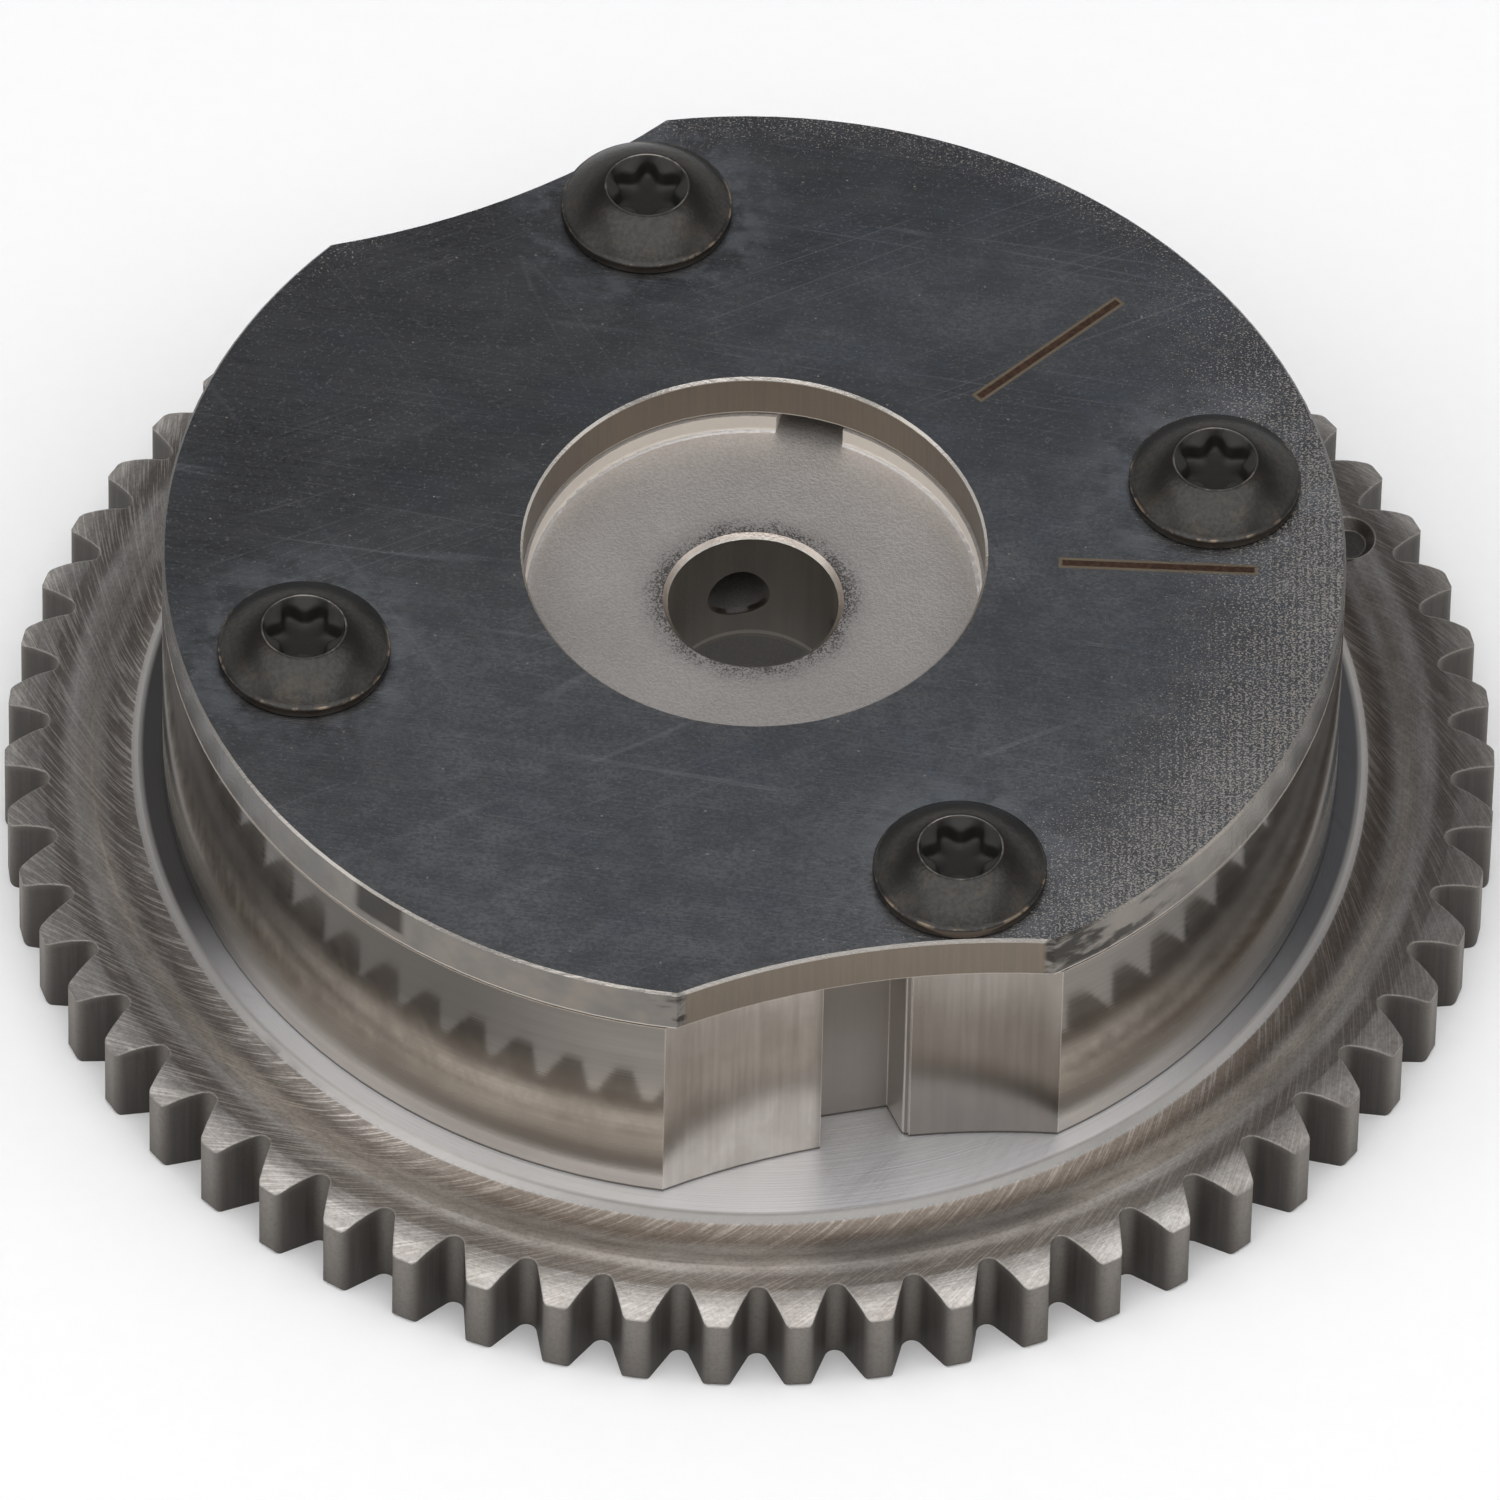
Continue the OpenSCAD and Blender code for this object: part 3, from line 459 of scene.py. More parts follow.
def ground_steel(look, sizes):
    """The housing: free-cutting steel, turned and ground, with a film of old oil."""
    # A ground wall is nearly a mirror, and the oil film browns and darkens what it shows
    material, tree, shader, at = new_finish("ground_steel_oiled", 1.0, 0.14)
    _, edge = rounded_edges(tree, sizes.edge)
    body, milled = sizes.body_radius / MM, sizes.milled_radius / MM
    outer = where(tree, (at.radius, body - 0.5, body - 0.2), (at.out, 0.9, 0.97))
    slot = where(tree, (at.radius, milled + 0.1, milled - 0.1))
    unrolled = round_the_axis(tree, at, body)
    film = grain(tree, unrolled, (26.0, 4.0, 5.0), 0.3, 0.7, 2.0)
    middle = (HOUSING_FOOT + COVER_FOOT) / 2
    # Painted shade: the wall is painted darker towards its top, a painted dark reflection, most of all away
    # from the notch
    upper = where(tree, (at.z, middle - 2.5, middle + 4.5))
    # The film is wiped off in a belt near the foot
    skirt = where(tree, (at.z, HOUSING_FOOT + 1.0, HOUSING_FOOT + 2.0),
                  (at.z, HOUSING_FOOT + 7.0, HOUSING_FOOT + 4.5))
    # Painted light lifts the notch walls' lower part, and painted shade darkens those to the right, most of all
    # low down
    right = where(tree, (at.x, 8.5, 11.0))
    lower = where(tree, (at.z, middle + 5.0, HOUSING_FOOT + 2.0))
    # Painted highlight on the slot's far side
    facing = add(tree, VECTOR_MATH, [at.normal, (-0.97, -0.22, 0.0)], operation="DOT_PRODUCT")
    rubbed = where(tree, (facing, 0.5, 0.8), (at.radius, milled + 1.2, milled + 0.9))
    # Turning lines lie 0.1 mm apart, and are drawn 0.25 mm apart so that they show
    turned = grain(tree, unrolled, (30.0, 9.0, 0.25), 0.3, 0.7, 2.0)
    upright = grain(tree, at.point, (0.5, 0.5, 16.0), 0.3, 0.7, 2.0)
    blots = grain(tree, at.point, (3.0, 3.0, 5.0), 0.35, 0.65, 3.0)
    # Painted shade: a dark line along the housing's foot
    foot = where(tree, (at.z, HOUSING_FOOT + 0.3, HOUSING_FOOT + 0.14))
    # Painted light lightens that painted shade on both flanks, in front, and it is whole again behind
    lit_flanks = overlap(tree, either(tree, swept(tree, at, 50.0, 68.0), swept(tree, at, -62.0, -76.0)),
                   where(tree, (at.y, 16.0, 2.0)))
    wall = coats(tree, look.wall_pale, (film, 0.5, look.wall_dark), (turned, 0.15, look.wall_dark),
                 (skirt, 0.1, look.worn_edge_and_highlight), (lit_flanks, 0.5, look.brim),
                 (upper, levels(tree, 0.55, (from_notch(tree, at, 20.0, 42.0), 0.9), (lit_flanks, 0.6)),
                  look.painted_wall_shade))
    notch = coats(tree, look.notch_steel, (upright, 0.35, look.wall_dark), (lower, 0.25, look.worn_edge_and_highlight),
                  (right, 0.3, look.painted_wall_shade), (right, lower, 0.6, look.painted_wall_shade), (blots, 0.3, look.wall_dark),
                  (slot, 0.9, look.milled), (rubbed, 0.9, look.worn_edge_and_highlight))
    # Painted highlights, over worn steel, line the edges
    finish = coats(tree, notch, (outer, wall), (edge, 0.8, look.worn_edge_and_highlight), (foot, 0.8, look.grime_and_shade))
    tree.links.new(finish, shader["Base Color"])
    rough = levels(tree, 0.24, (slot, 0.36), (outer, 0.08), (turned, outer, 0.12), (skirt, outer, 0.28),
                   (edge, 0.36))
    tree.links.new(rough, shader["Roughness"])
    relief(tree, shader, turned, 0.0006)
    return material


def sprocket_steel(look, sizes):
    """The sprocket: sintered and steam-treated steel, with its seat and front face turned."""
    # Turned rings throw a bow of light across the face, brushing leaves slanted strokes, heat browns the valley
    material, tree, shader, at = new_finish("turned_sprocket_steel", 1.0, 0.35)
    eased, edge = rounded_edges(tree, sizes.tooth_edge)
    lip, root = sizes.lip_radius / MM, sizes.root_radius / MM
    eased_up = add(tree, "ShaderNodeSeparateXYZ", [eased]).node.outputs["Z"]
    # The teeth's tips are tumbled round, so light runs softly across them
    tip = add(tree, "ShaderNodeBevel", {"Radius": sizes.tip_edge}, samples=2)
    tip = add(tree, VECTOR_MATH, [tip, (1.0, 1.0, 0.0)], operation="MULTIPLY")
    tip = add(tree, VECTOR_MATH, [tip], operation="NORMALIZE")
    eased_out = add(tree, VECTOR_MATH, [tip, at.spoke], operation="DOT_PRODUCT")
    lying = add(tree, MATH, [at.up], operation="ABSOLUTE")
    soft = coats(tree, tip, (where(tree, (lying, 0.2, 0.4)), eased))
    face_up = where(tree, (eased_up, 0.3, 0.8))
    seat = where(tree, (at.radius, lip + 0.05, lip - 0.25))
    lip_top = where(tree, (at.radius, lip - 0.95, lip - 0.6), (at.radius, lip + 0.1, lip))
    hollow = where(tree, (at.radius, lip - 0.35, lip + 0.3), (at.radius, lip + 2.6, lip + 1.3))
    band = where(tree, (at.radius, lip + 1.6, lip + 2.8), (at.radius, root - 0.8, root - 1.9))
    crown = where(tree, (at.radius, root + 0.4, root + 1.4))
    land = where(tree, (eased_out, 0.3, 0.98), (lying, 0.4, 0.2))
    shoulder = where(tree, (at.radius, root - 1.4, root - 0.8), (at.radius, root + 0.7, root + 0.2))
    # Painted shade: the face is darker away from the notch and to the right
    aside = from_notch(tree, at, 42.0, 76.0)
    right = where(tree, (at.x, 28.0, 48.0))
    # Painted shade fills the dimple
    circle, dip = sizes.dimple_circle / MM, sizes.dimple_radius / MM
    spot = (circle * cos(sizes.dimple_angle), circle * sin(sizes.dimple_angle), 0.0)
    far = add(tree, VECTOR_MATH, [at.level, spot], operation="DISTANCE")
    dimple = where(tree, (far, dip + 0.02, dip - 0.12))
    unrolled = round_the_axis(tree, at, root - 3.0)
    # Brush strokes are about 4 mm long and 0.14 mm wide, at 33 degrees to the rim
    strokes = grain(tree, unrolled, (4.0, 0.14, 3.0), 0.48, 0.66, 2.0, 33.0)
    blotches = grain(tree, at.point, (9.0, 9.0, 9.0), 0.35, 0.65, 3.0)
    mottle = grain(tree, unrolled, (5.0, 1.5, 3.0), 0.36, 0.64, 3.0)
    rings = grain(tree, unrolled, (24.0, 0.14, 9.0), 0.35, 0.65, 2.0)
    upright = grain(tree, at.point, (0.35, 0.35, 12.0), 0.3, 0.7, 2.0)
    pores = grain(tree, at.point, (0.3, 0.3, 0.3), 0.4, 0.7, 2.0)
    # The seat is painted darker on both sides, a painted shade, so that it is bright only in front
    seat_painted_shade = coats(tree, look.seat_steel, (swept(tree, at, 32.0, 72.0), 0.93, look.blue_dark),
                 (swept(tree, at, -52.0, -70.0), 0.92, look.oxide))
    ledge = coats(tree, look.lip, (from_notch(tree, at, 20.0, 45.0), 0.45, look.sinter))
    # Painted light: the valley and the brush strokes are lighter on the left
    left = where(tree, (at.x, -15.0, -35.0))
    face = coats(tree, look.face, (band, 0.85, look.face_pale),
                 (strokes, levels(tree, 0.35, (blotches, 0.9)), look.face_pale), (crown, 0.7, look.crown),
                 (shoulder, 0.45, look.valley), (hollow, 0.9, look.valley), (hollow, left, 0.4, look.face),
                 (blotches, 0.25, look.valley), (mottle, 0.28, look.valley), (rings, 0.15, look.valley),
                 (aside, 0.22, look.flank), (right, 0.28, look.flank),
                 (strokes, levels(tree, 0.15, (left, 0.5)), look.worn_edge_and_highlight), (dimple, 0.75, look.flank),
                 (seat, seat_painted_shade), (lip_top, ledge))
    below = add(tree, "ShaderNodeMapRange", [at.z, 6.0, 0.0])
    # Painted light and shade: lands that face out are painted lighter than the flanks, and the sides darken
    # towards the bottom
    sides = coats(tree, look.flank, (land, look.land), (upright, 0.2, look.valley), (below, 0.45, look.grime_and_shade))
    rough_skin = add(tree, MATH, [1.0, overlap(tree, seat, face_up)], operation="SUBTRACT")
    pores = overlap(tree, pores, rough_skin)
    # Painted highlight, over worn steel, along the teeth's top edges
    brow = overlap(tree, edge, where(tree, (eased_up, 0.15, 0.4)))
    finish = coats(tree, sides, (face_up, face), (pores, 0.2, look.flank), (brow, 0.75, look.worn_edge_and_highlight))
    tree.links.new(finish, shader["Base Color"])
    # The teeth's sides keep their matte skin of oxide, and the turned face is bare
    tree.links.new(levels(tree, 0.3, (face_up, 1.0)), shader["Metallic"])
    rough = levels(tree, 0.58, (face_up, 0.4), (seat, face_up, 0.48), (lip_top, face_up, 0.4),
                   (strokes, face_up, 0.4, 0.3), (brow, 0.35))
    tree.links.new(rough, shader["Roughness"])
    shader["Anisotropic"].default_value = 0.45
    shader["Anisotropic Rotation"].default_value = 0.25
    round_axis = add(tree, VECTOR_MATH, [(0.0, 0.0, 1.0), at.point], operation="CROSS_PRODUCT")
    tree.links.new(round_axis, shader["Tangent"])
    height = add(tree, MATH, [rings, pores], operation="ADD")
    relief(tree, shader, height, 0.004, soft)
    return material


def sintered_steel(look, sizes):
    """The rotor: sintered iron-carbon steel as pressed, with a reamed bore."""
    # Pressed powder is matte and even, with a fine sparkle, and darkens where the bolt's head has rubbed it
    material, tree, shader, at = new_finish("sintered_steel_grain", 1.0, 0.5)
    bore, foot = sizes.bore_radius / MM, sizes.bore_foot / MM
    recess, floor = sizes.recess_radius / MM, sizes.recess_floor / MM
    inside = where(tree, (at.radius, bore + 0.22, bore + 0.12))
    flat = where(tree, (at.up, 0.85, 0.97))
    cut = where(tree, (at.radius, bore + 0.12, bore + 0.2), (at.radius, bore + 0.7, bore + 0.55),
                (at.up, 0.3, 0.5), (at.up, 0.97, 0.9))
    # Painted highlight: a pale band at the bore's lower edge
    step = where(tree, (at.z, foot + 0.42, foot + 0.3), (at.z, foot - 0.1, foot))
    brim = where(tree, (at.up, 0.75, 0.5), (at.radius, recess - 1.0, recess - 0.5))
    # Painted shade: the face is darker towards the front
    shaded = where(tree, (at.y, 14.0, -17.0))
    # Powder grains are 0.1 mm, and are drawn 0.2 mm across so that they show
    powder = grain(tree, at.point, (0.22, 0.22, 0.22), 0.3, 0.7, 2.0)
    clouds = grain(tree, at.point, (8.0, 8.0, 8.0), 0.3, 0.7, 2.0)
    # Dark dust gathers in flecks of 0.15 mm, close to the bore
    near = where(tree, (at.radius, bore + 3.4, bore + 0.3), (at.z, floor - 0.4, floor - 0.2))
    flecks = add(tree, MATH, [grain(tree, at.point, (0.15, 0.15, 0.15), 0.0, 1.0, 2.0),
                                          overlap(tree, near, 0.42)], operation="ADD")
    strewn = grain(tree, at.point, (3.0, 3.0, 3.0), 0.3, 0.7, 2.0)
    flecks = add(tree, MATH, [flecks, overlap(tree, strewn, 0.22)], operation="ADD")
    rubbed = where(tree, (flecks, 0.98, 1.1))
    upright = grain(tree, at.point, (0.8, 0.8, 20.0), 0.3, 0.7, 2.0)
    skin = coats(tree, look.sinter, (shaded, 0.3, look.sinter_dark), (powder, 0.22, look.sinter_dark),
                 (clouds, 0.15, look.sinter_dark), (brim, 0.95, look.brim), (near, flat, 0.25, look.dust),
                 (rubbed, flat, near, 0.85, look.dust))
    hollow = coats(tree, look.bore, (upright, 0.12, look.sinter_dark), (step, look.brim))
    finish = coats(tree, skin, (inside, hollow), (cut, look.chamfer))
    tree.links.new(finish, shader["Base Color"])
    rough = levels(tree, 0.52, (brim, 0.75), (inside, 0.36), (cut, 0.3))
    tree.links.new(rough, shader["Roughness"])
    relief(tree, shader, powder, 0.012)
    return material


def black_oxide(look, sizes):
    """The screws: alloy steel, cold-headed and black-oxided."""
    # Black oxide is satin and near black, and wears to brown and bare steel along its edges
    material, tree, shader, at = new_finish("black_oxide_steel", 1.0, 0.3)
    over = add(tree, MATH, [at.z, COVER_TOP], operation="SUBTRACT")
    side, head = sizes.flange_height / MM, sizes.head_height / MM
    flange = where(tree, (over, side - 0.05, side - 0.15))
    steep = where(tree, (at.up, 0.5, 0.3))
    flange_edge = where(tree, (over, side - 0.2, side - 0.06), (over, side + 0.07, side))
    rim_edge = where(tree, (over, head - 0.035, head))
    # Wear is patchy over about 2 mm, and the oxide's bloom over 0.3 mm
    patches = grain(tree, at.point, (1.8, 1.8, 1.8), 0.5, 0.64, 3.0)
    bloom = grain(tree, at.point, (0.35, 0.35, 0.35), 0.3, 0.7, 2.0)
    rim = sizes.rim_radius / MM
    off = from_screws(tree, at, sizes)
    recess = where(tree, (off, rim - 0.08, rim - 0.25))
    beyond = where(tree, (off, rim, rim + 0.5))
    finish = coats(tree, look.oxide, (bloom, 0.3, look.oxide_dark), (patches, 0.2, look.oxide_brown),
                   (flange, steep, 0.7, look.oxide_brown), (recess, look.oxide_recess),
                   (flange_edge, beyond, patches, 0.6, look.oxide_worn),
                   (rim_edge, levels(tree, 0.15, (patches, 0.4)), look.worn_edge_and_highlight))
    tree.links.new(finish, shader["Base Color"])
    rough = levels(tree, 0.28, (bloom, 0.6, 0.38), (recess, 0.5))
    tree.links.new(rough, shader["Roughness"])
    # Dust lies in the recesses and makes them matte
    tree.links.new(levels(tree, 1.0, (recess, 0.4)), shader["Metallic"])
    shader["Specular Tint"].default_value = (0.75, 0.75, 0.75, 1.0)
    relief(tree, shader, bloom, 0.005)
    return material


def plain_metal(name, tone, dark, roughness, size):
    """A drawn or ground steel of the pieces inside, with fine lines of that size in millimetres."""
    material, tree, shader, at = new_finish(name, 1.0, roughness)
    lines = grain(tree, at.point, size, 0.3, 0.7, 3.0)
    tree.links.new(coats(tree, tone, (lines, 0.35, dark)), shader["Base Color"])
    tree.links.new(levels(tree, roughness, (lines, roughness + 0.12)), shader["Roughness"])
    relief(tree, shader, lines, 0.003)
    return material


def filled_polymer(look):
    """The seals: fluoropolymer filled with bronze and carbon, moulded."""
    # Filled polymer is matte brown with a fine dark fleck
    material, tree, shader, at = new_finish("filled_fluoropolymer", 0.0, 0.55)
    fleck = grain(tree, at.point, (0.3, 0.3, 0.3), 0.45, 0.7, 2.0)
    tree.links.new(coats(tree, look.seal, (fleck, 0.5, look.oxide_dark)), shader["Base Color"])
    shader["IOR"].default_value = 1.38
    relief(tree, shader, fleck, 0.004)
    return material


def dress(node, material):
    """Gives a CAD node its finish."""
    frame["nodes"][node].material_slots[0].material = material


class Dresser:
    """What the operators that dress one node have in common."""

    def execute(self, context):
        dress(self.node, self.finish(context.scene.phaser_colours, context.scene.phaser_sizes))
        return {"FINISHED"}


class PHASER_OT_cover(Dresser, bpy.types.Operator):
    """Gives the front cover its ground and blued steel with the timing marks"""
    bl_idname = "phaser.cover"
    bl_label = "Front cover"
    node = "front_cover"
    finish = staticmethod(blued_steel)


class PHASER_OT_housing(Dresser, bpy.types.Operator):
    """Gives the housing its ground steel"""
    bl_idname = "phaser.housing"
    bl_label = "Housing"
    node = "housing"
    finish = staticmethod(ground_steel)


class PHASER_OT_sprocket(Dresser, bpy.types.Operator):
    """Gives the sprocket its turned and brushed steel"""
    bl_idname = "phaser.sprocket"
    bl_label = "Sprocket"
    node = "sprocket"
    finish = staticmethod(sprocket_steel)


class PHASER_OT_rotor(Dresser, bpy.types.Operator):
    """Gives the rotor its sintered steel"""
    bl_idname = "phaser.rotor"
    bl_label = "Rotor"
    node = "rotor"
    finish = staticmethod(sintered_steel)


def smooth_mesh(name, form):
    """Turns a form into a mesh that is smooth between its sharp edges."""
    mesh = bpy.data.meshes.new(name)
    form.to_mesh(mesh)
    form.free()
    mesh.polygons.foreach_set("use_smooth", [True] * len(mesh.polygons))
    mesh.set_sharp_from_angle(angle=SHARP_ANGLE)
    return mesh


def screw_rings(sizes):
    """Rings of one screw from its tip to the middle of its recess: radius, swing of the lobes and height."""
    thread, tip = sizes.thread_radius, -sizes.screw_length
    flange, side, head, rim = sizes.flange_radius, sizes.flange_height, sizes.head_height, sizes.rim_radius
    ease, point, dome_steps = 0.14 * MM, 0.5 * MM, 16
    rings = [(thread - point, 0.0, tip), (thread, 0.0, tip + point), (thread, 0.0, 0.0),
             (flange - ease, 0.0, 0.0), (flange - 0.3 * ease, 0.0, 0.3 * ease), (flange, 0.0, ease),
             (flange, 0.0, side - ease), (flange - 0.3 * ease, 0.0, side - 0.3 * ease),
             (flange - ease, 0.0, side)]
    start, rise = flange - ease, head - side
    for step in range(1, dome_steps + 1):
        share = step / dome_steps
        bulge = 4 * sizes.dome_bulge * share * (1 - share)
        rings.append((start + (rim - start) * share, 0.0, side + rise * share + bulge))
    inner, swing = sizes.lobe_inner, sizes.lobe_outer - sizes.lobe_inner
    floor = head - sizes.drive_depth
    # Rim, mouth, lobed wall and rounded floor of the recess
    rings += [(rim - 0.06 * MM, 0.0, head - 0.01 * MM), (rim - 0.12 * MM, 0.0, head - 0.09 * MM),
              (inner + 0.75 * MM, 0.3 * swing, head - 0.28 * MM),
              (inner + 0.35 * MM, 0.7 * swing, head - 0.45 * MM),
              (inner + 0.1 * MM, 0.92 * swing, head - 0.62 * MM), (inner, swing, head - 0.85 * MM),
              (inner - 0.06 * MM, swing, floor + 0.4 * MM),
              (inner - 0.16 * MM, 0.95 * swing, floor + 0.18 * MM),
              (inner - 0.36 * MM, 0.75 * swing, floor + 0.05 * MM), (0.55 * inner, 0.2 * swing, floor)]
    return rings, floor - 0.03 * MM


def screw_blank(sizes):
    """Mesh of one screw at the origin, its seat at height 0, with its faces lofted from ring to ring."""
    around, lobes, lobe_power = 96, 6, 1.2
    rings, middle = screw_rings(sizes)
    form = bmesh.new()
    loops = []
    for radius, swing, height in rings:
        loop = []
        for k in range(around):
            angle = 2 * pi * k / around
            out = radius + swing * ((1 + cos(lobes * angle)) / 2) ** lobe_power
            loop.append(form.verts.new((out * cos(angle), out * sin(angle), height)))
        loops.append(loop)
    for low, high in zip(loops, loops[1:]):
        for k in range(around):
            after = (k + 1) % around
            form.faces.new((low[k], low[after], high[after], high[k]))
    for loop, height in ((loops[0][::-1], -sizes.screw_length), (loops[-1], middle)):
        centre = form.verts.new((0.0, 0.0, height))
        for k in range(around):
            form.faces.new((loop[k], loop[(k + 1) % around], centre))
    return smooth_mesh("screw_blank", form)


def screw_tree(material):
    """Geometry Nodes that set a screw at each point, by the point's own angle and turn."""
    tree = bpy.data.node_groups.new("screws_on_a_circle", "GeometryNodeTree")
    sockets = {}
    for name, kind, side in (("Points", "NodeSocketGeometry", "INPUT"), ("Screw", "NodeSocketObject", "INPUT"),
                             ("Circle radius", "NodeSocketFloat", "INPUT"),
                             ("Seat height", "NodeSocketFloat", "INPUT"),
                             ("Screws", "NodeSocketGeometry", "OUTPUT")):
        sockets[name] = tree.interface.new_socket(name, in_out=side, socket_type=kind).identifier
    given = add(tree, "NodeGroupInput").node.outputs
    angle, turn = (add(tree, "GeometryNodeInputNamedAttribute", {"Name": name}, data_type="FLOAT")
                   for name in ("angle", "turn"))
    across, along = (overlap(tree, add(tree, MATH, [angle], operation=part), given["Circle radius"])
                     for part in ("COSINE", "SINE"))
    spot = add(tree, "ShaderNodeCombineXYZ", [across, along, given["Seat height"]])
    placed = add(tree, "GeometryNodeSetPosition", {"Geometry": given["Points"], "Position": spot})
    points = add(tree, "GeometryNodeMeshToPoints", {"Mesh": placed})
    shape = add(tree, "GeometryNodeObjectInfo", {"Object": given["Screw"]}).node.outputs["Geometry"]
    spun = add(tree, "ShaderNodeCombineXYZ", [None, None, turn])
    copies = add(tree, "GeometryNodeInstanceOnPoints", {"Points": points, "Instance": shape, "Rotation": spun})
    real = add(tree, "GeometryNodeRealizeInstances", {"Geometry": copies})
    done = add(tree, "GeometryNodeSetMaterial", {"Geometry": real, "Material": material})
    add(tree, "NodeGroupOutput", [done])
    return tree, sockets


class PHASER_OT_screws(bpy.types.Operator):
    """Sets the four flanged six-lobe screws in place of the plain ones"""
    bl_idname = "phaser.screws"
    bl_label = "Cover screws"

    def execute(self, context):
        scene = context.scene
        sizes = scene.phaser_sizes
        material = black_oxide(scene.phaser_colours, sizes)
        blank = bpy.data.objects.new("screw_blank", screw_blank(sizes))
        scene.collection.objects.link(blank)
        dots = bpy.data.meshes.new("screw_points")
        dots.from_pydata([(0.0, 0.0, 0.0)] * len(sizes.screw_angles), [], [])
        for name, values in (("angle", sizes.screw_angles), ("turn", sizes.screw_turns)):
            dots.attributes.new(name, "FLOAT", "POINT").data.foreach_set("value", list(values))
        maker = bpy.data.objects.new("screw_maker", dots)
        scene.collection.objects.link(maker)
        tree, sockets = screw_tree(material)
        nodes = maker.modifiers.new("Screws", "NODES")
        nodes.node_group = tree
        nodes[sockets["Screw"]] = blank
        nodes[sockets["Circle radius"]] = sizes.screw_circle
        nodes[sockets["Seat height"]] = COVER_TOP * MM
        context.view_layer.update()
        solved = maker.evaluated_get(context.evaluated_depsgraph_get())
        mesh = bpy.data.meshes.new_from_object(solved)
        if len(mesh.polygons) < len(sizes.screw_angles) * len(blank.data.polygons):
            raise RuntimeError("the screws didn't come out of their tree")
        maker.modifiers.remove(nodes)
        bpy.data.objects.remove(maker)
        bpy.data.objects.remove(blank)
        screws = bpy.data.objects.new("flanged_screws", mesh)
        scene.collection.objects.link(screws)
        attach(screws, "housing_assembly")
        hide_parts("cover_screws")
        return {"FINISHED"}


def coil(sizes):
    """Mesh of the lock pin's spring: a round wire with closed ends, wound between the ends of its solid."""
    low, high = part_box("lock_spring")
    pin_low, pin_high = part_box("lock_pin")
    axis = (pin_low + pin_high) / 2
    start = atan2(axis.y, axis.x)
    wire, sides, steps_a_turn = sizes.wire_radius, 16, 36
    steps = steps_a_turn * sizes.spring_turns
    form = bmesh.new()
    loops = []
    for step in range(steps + 1):
        share = step / steps
        angle = start + 2 * pi * sizes.spring_turns * share
        rise = low.z + wire + share * (high.z - low.z - 2 * wire)
        loop = []
        for k in range(sides):
            out = sizes.coil_radius + wire * cos(2 * pi * k / sides)
            loop.append(form.verts.new((axis.x + out * cos(angle), axis.y + out * sin(angle),
                                        rise + wire * sin(2 * pi * k / sides))))
        loops.append(loop)
    for before, after in zip(loops, loops[1:]):
        for k in range(sides):
            beside = (k + 1) % sides
            form.faces.new((before[k], after[k], after[beside], before[beside]))
    form.faces.new(loops[0])
    form.faces.new(loops[-1])
    bmesh.ops.recalc_face_normals(form, faces=form.faces)
    return smooth_mesh("lock_spring_coil", form)


class PHASER_OT_spring(bpy.types.Operator):
    """Winds the lock pin's spring between the ends of its solid"""
    bl_idname = "phaser.spring"
    bl_label = "Lock pin spring"

    def execute(self, context):
        scene = context.scene
        spring = bpy.data.objects.new("lock_spring_coil", coil(scene.phaser_sizes))
        spring.data.materials.append(plain_metal("drawn_lock_spring_steel", scene.phaser_colours.spring,
                                                 scene.phaser_colours.sinter_dark, 0.28, (0.2, 0.2, 3.0)))
        scene.collection.objects.link(spring)
        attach(spring, "rotor_assembly")
        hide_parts("lock_spring")
        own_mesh(spring)
        return {"FINISHED"}


class PHASER_OT_inside(bpy.types.Operator):
    """Gives the lock pin, springs and seals their finishes"""
    bl_idname = "phaser.inside"
    bl_label = "Lock pin, springs and seals"

    def execute(self, context):
        look = context.scene.phaser_colours
        # Ground pins show fine rings, drawn wire fine lines along it
        hardened = plain_metal("hardened_ground_steel", look.hardened, look.sinter_dark, 0.22, (6.0, 6.0, 0.2))
        wire = plain_metal("drawn_spring_steel", look.spring, look.sinter_dark, 0.28, (0.2, 0.2, 3.0))
        polymer = filled_polymer(look)
        by_slot = {"hardened_steel": hardened, "spring_steel": wire, "seal_polymer": polymer}
        for part in frame["record"]["subparts"]:
            if part["material_slot"] in by_slot:
                dress(part["node"], by_slot[part["material_slot"]])
        return {"FINISHED"}


def lamp(scene, name, place, aim, width, height, glow):
    """A soft box that shines from its place towards an aim, so bright that its face shows at that radiance."""
    light = bpy.data.lights.new(name, "AREA")
    light.shape = "RECTANGLE"
    light.size, light.size_y = width, height
    light.energy = glow * pi * width * height
    holder = bpy.data.objects.new(name, light)
    towards = Vector(aim) - Vector(place)
    holder.matrix_world = Matrix.Translation(place) @ towards.to_track_quat("-Z", "Y").to_matrix().to_4x4()
    scene.collection.objects.link(holder)


def studio_floor(look):
    """Pale matte paper, white in the lamps' light, that keeps a soft shadow."""
    material, tree, shader, at = new_finish("matte_studio_paper", 0.0, 0.9)
    fibres = grain(tree, at.point, (2.0, 2.0, 2.0), 0.3, 0.7, 2.0)
    tree.links.new(coats(tree, look.floor, (fibres, 0.02, look.hardened)), shader["Base Color"])
    return material


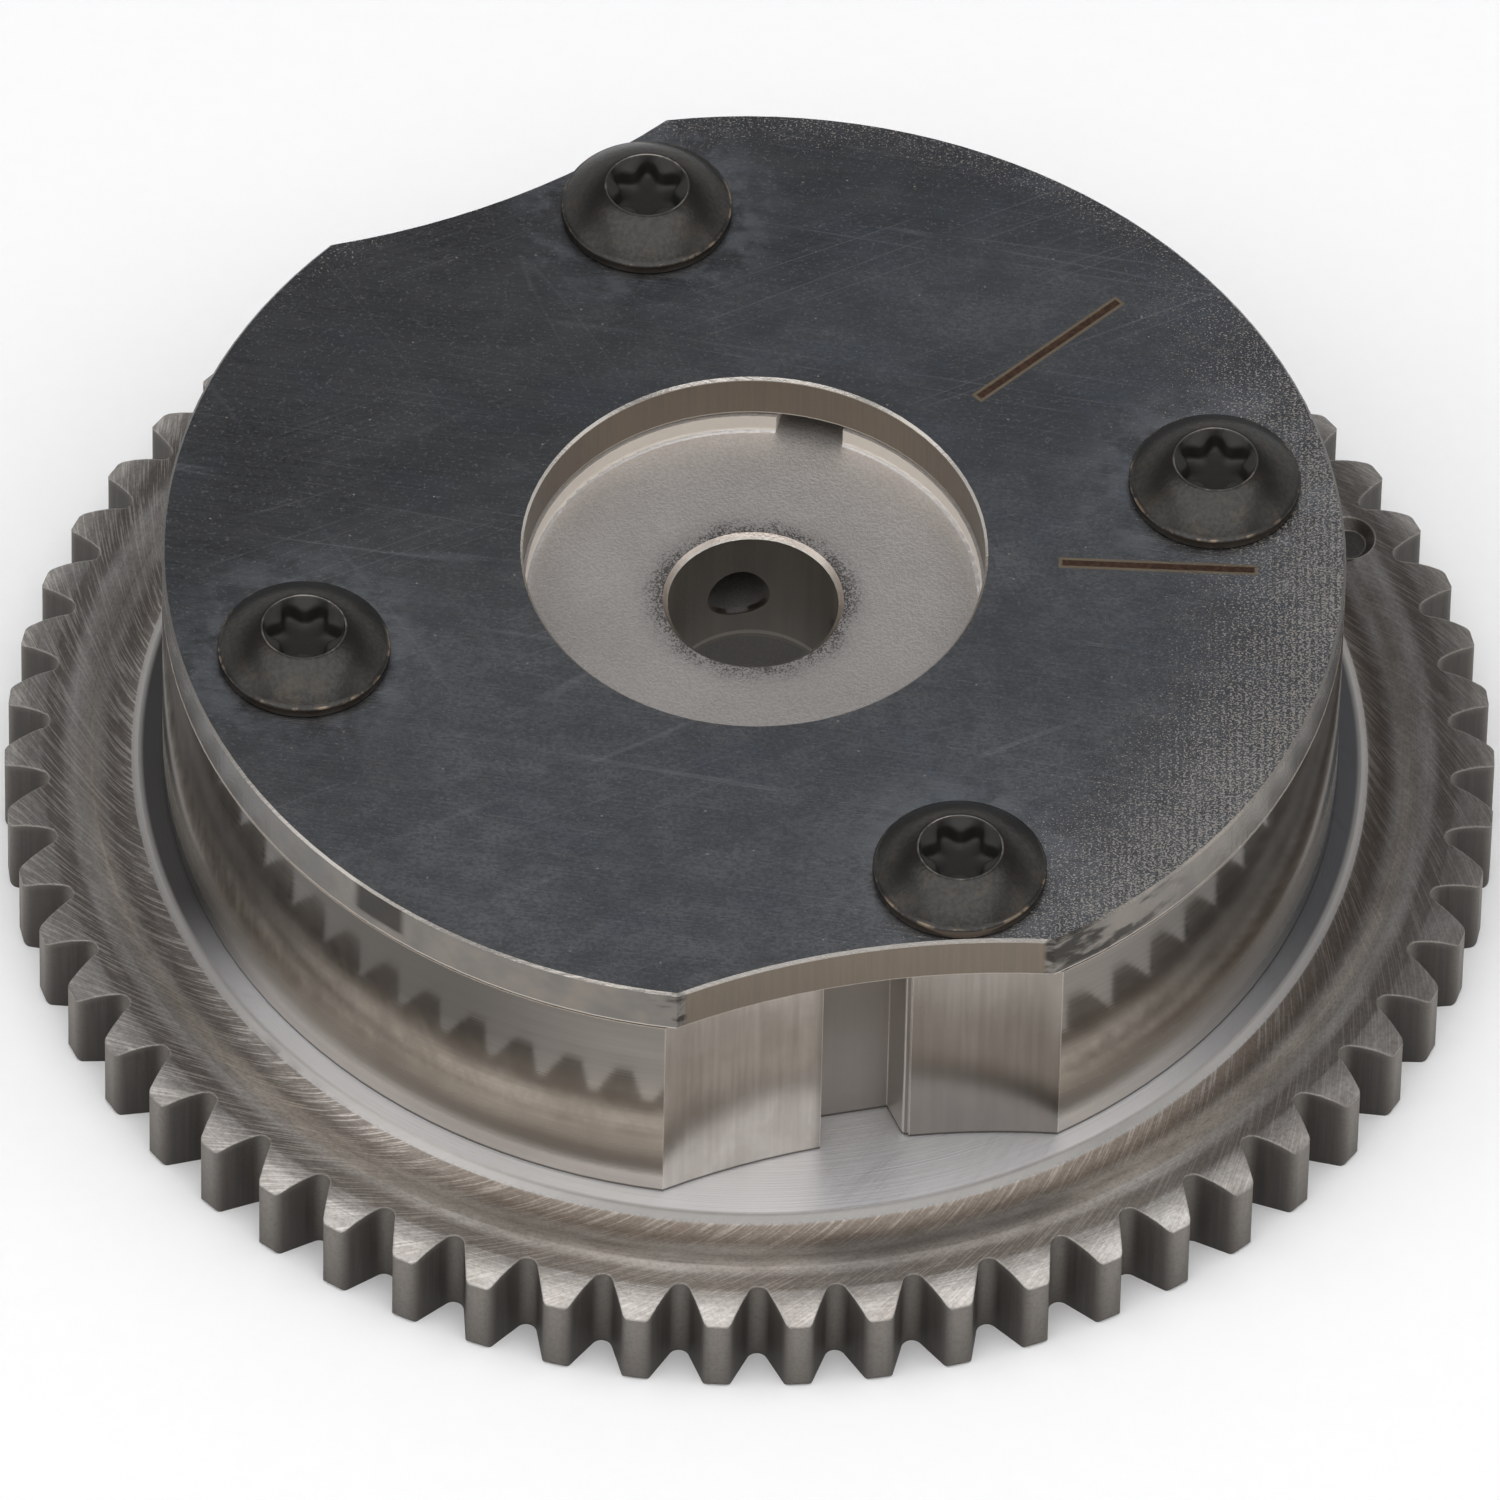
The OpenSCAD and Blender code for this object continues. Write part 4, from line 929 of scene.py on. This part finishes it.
class PHASER_OT_stage(bpy.types.Operator):
    """Sets the floor, the soft lamps, the room's light and the camera"""
    bl_idname = "phaser.stage"
    bl_label = "Studio"

    def execute(self, context):
        scene = context.scene
        scene.view_settings.view_transform = "Standard"
        reach = 12.0
        sheet = bpy.data.meshes.new("floor")
        corners = ((-reach, -reach), (reach, -reach), (reach, reach), (-reach, reach))
        sheet.from_pydata([(x, y, 0.0) for x, y in corners], [], [(0, 1, 2, 3)])
        sheet.materials.append(studio_floor(scene.phaser_colours))
        floor = bpy.data.objects.new("floor", sheet)
        floor.location.z = CAD_BOX[0][2]
        scene.collection.objects.link(floor)
        centre = (0.0, 0.0, 0.015)
        lamp(scene, "overhead_box", (0.0, -0.65, 1.6), (0.0, -0.65, 0.0), width=2.6, height=2.3, glow=1.62)
        lamp(scene, "left_box", (-1.5, -0.4, 0.9), centre, width=0.9, height=0.9, glow=1.08)
        lamp(scene, "right_box", (1.5, -0.3, 0.9), centre, width=0.8, height=0.8, glow=0.86)
        world = bpy.data.worlds.new("studio_room")
        world.use_nodes = True
        tree = world.node_tree
        aim = add(tree, "ShaderNodeTexCoord").node.outputs["Generated"]
        rise = add(tree, "ShaderNodeSeparateXYZ", [aim]).node.outputs["Z"]
        ceiling = where(tree, (rise, 0.2, 0.55))
        pale, dim = (1.0, 1.0, 1.0, 1.0), (0.25, 0.25, 0.26, 1.0)
        room = coats(tree, pale, (ceiling, dim))
        tree.links.new(room, tree.nodes["Background"].inputs["Color"])
        scene.world = world
        # The camera looks down from the front through a long lens
        camera = bpy.data.cameras.new("camera")
        camera.sensor_fit, camera.sensor_width, camera.lens = "HORIZONTAL", 36.0, 635.406
        camera.clip_start, camera.clip_end = 0.05, 100.0
        pitch, roll = 0.8512, 0.0218
        forward = Vector((0.0, cos(pitch), -sin(pitch)))
        right, down = Vector((1.0, 0.0, 0.0)), Vector((0.0, -sin(pitch), -cos(pitch)))
        right, down = cos(roll) * right - sin(roll) * down, sin(roll) * right + cos(roll) * down
        eye = bpy.data.objects.new("camera", camera)
        place = Matrix((right, -down, -forward)).transposed().to_4x4()
        place.translation = (0.0, -1.375583, 1.577653)
        eye.matrix_world = place
        scene.collection.objects.link(eye)
        scene.camera = eye
        return {"FINISHED"}


class PHASER_PT_panel(bpy.types.Panel):
    """Lists the phaser's pieces, sizes and colours"""
    bl_idname = "PHASER_PT_panel"
    bl_label = "Cam phaser"
    bl_space_type = "VIEW_3D"
    bl_region_type = "UI"
    bl_category = "Phaser"

    def draw(self, context):
        for operator in OPERATORS:
            self.layout.operator(operator.bl_idname)
        for group in (context.scene.phaser_sizes, context.scene.phaser_colours):
            column = self.layout.column()
            for name in group.__annotations__:
                column.prop(group, name)


OPERATORS = (PHASER_OT_stage, PHASER_OT_sprocket, PHASER_OT_housing, PHASER_OT_cover, PHASER_OT_screws,
             PHASER_OT_rotor, PHASER_OT_inside, PHASER_OT_spring)
CLASSES = (PhaserSizes, PhaserColours) + OPERATORS + (PHASER_PT_panel,)


def register():
    for each in CLASSES:
        bpy.utils.register_class(each)
    bpy.types.Scene.phaser_sizes = bpy.props.PointerProperty(type=PhaserSizes)
    bpy.types.Scene.phaser_colours = bpy.props.PointerProperty(type=PhaserColours)


def unregister():
    del bpy.types.Scene.phaser_colours
    del bpy.types.Scene.phaser_sizes
    for each in reversed(CLASSES):
        bpy.utils.unregister_class(each)


def main():
    register()
    bpy.ops.phaser.stage()
    bpy.ops.phaser.sprocket()
    bpy.ops.phaser.housing()
    bpy.ops.phaser.cover()
    bpy.ops.phaser.screws()
    bpy.ops.phaser.rotor()
    bpy.ops.phaser.inside()
    bpy.ops.phaser.spring()


if __name__ == "__main__":
    main()
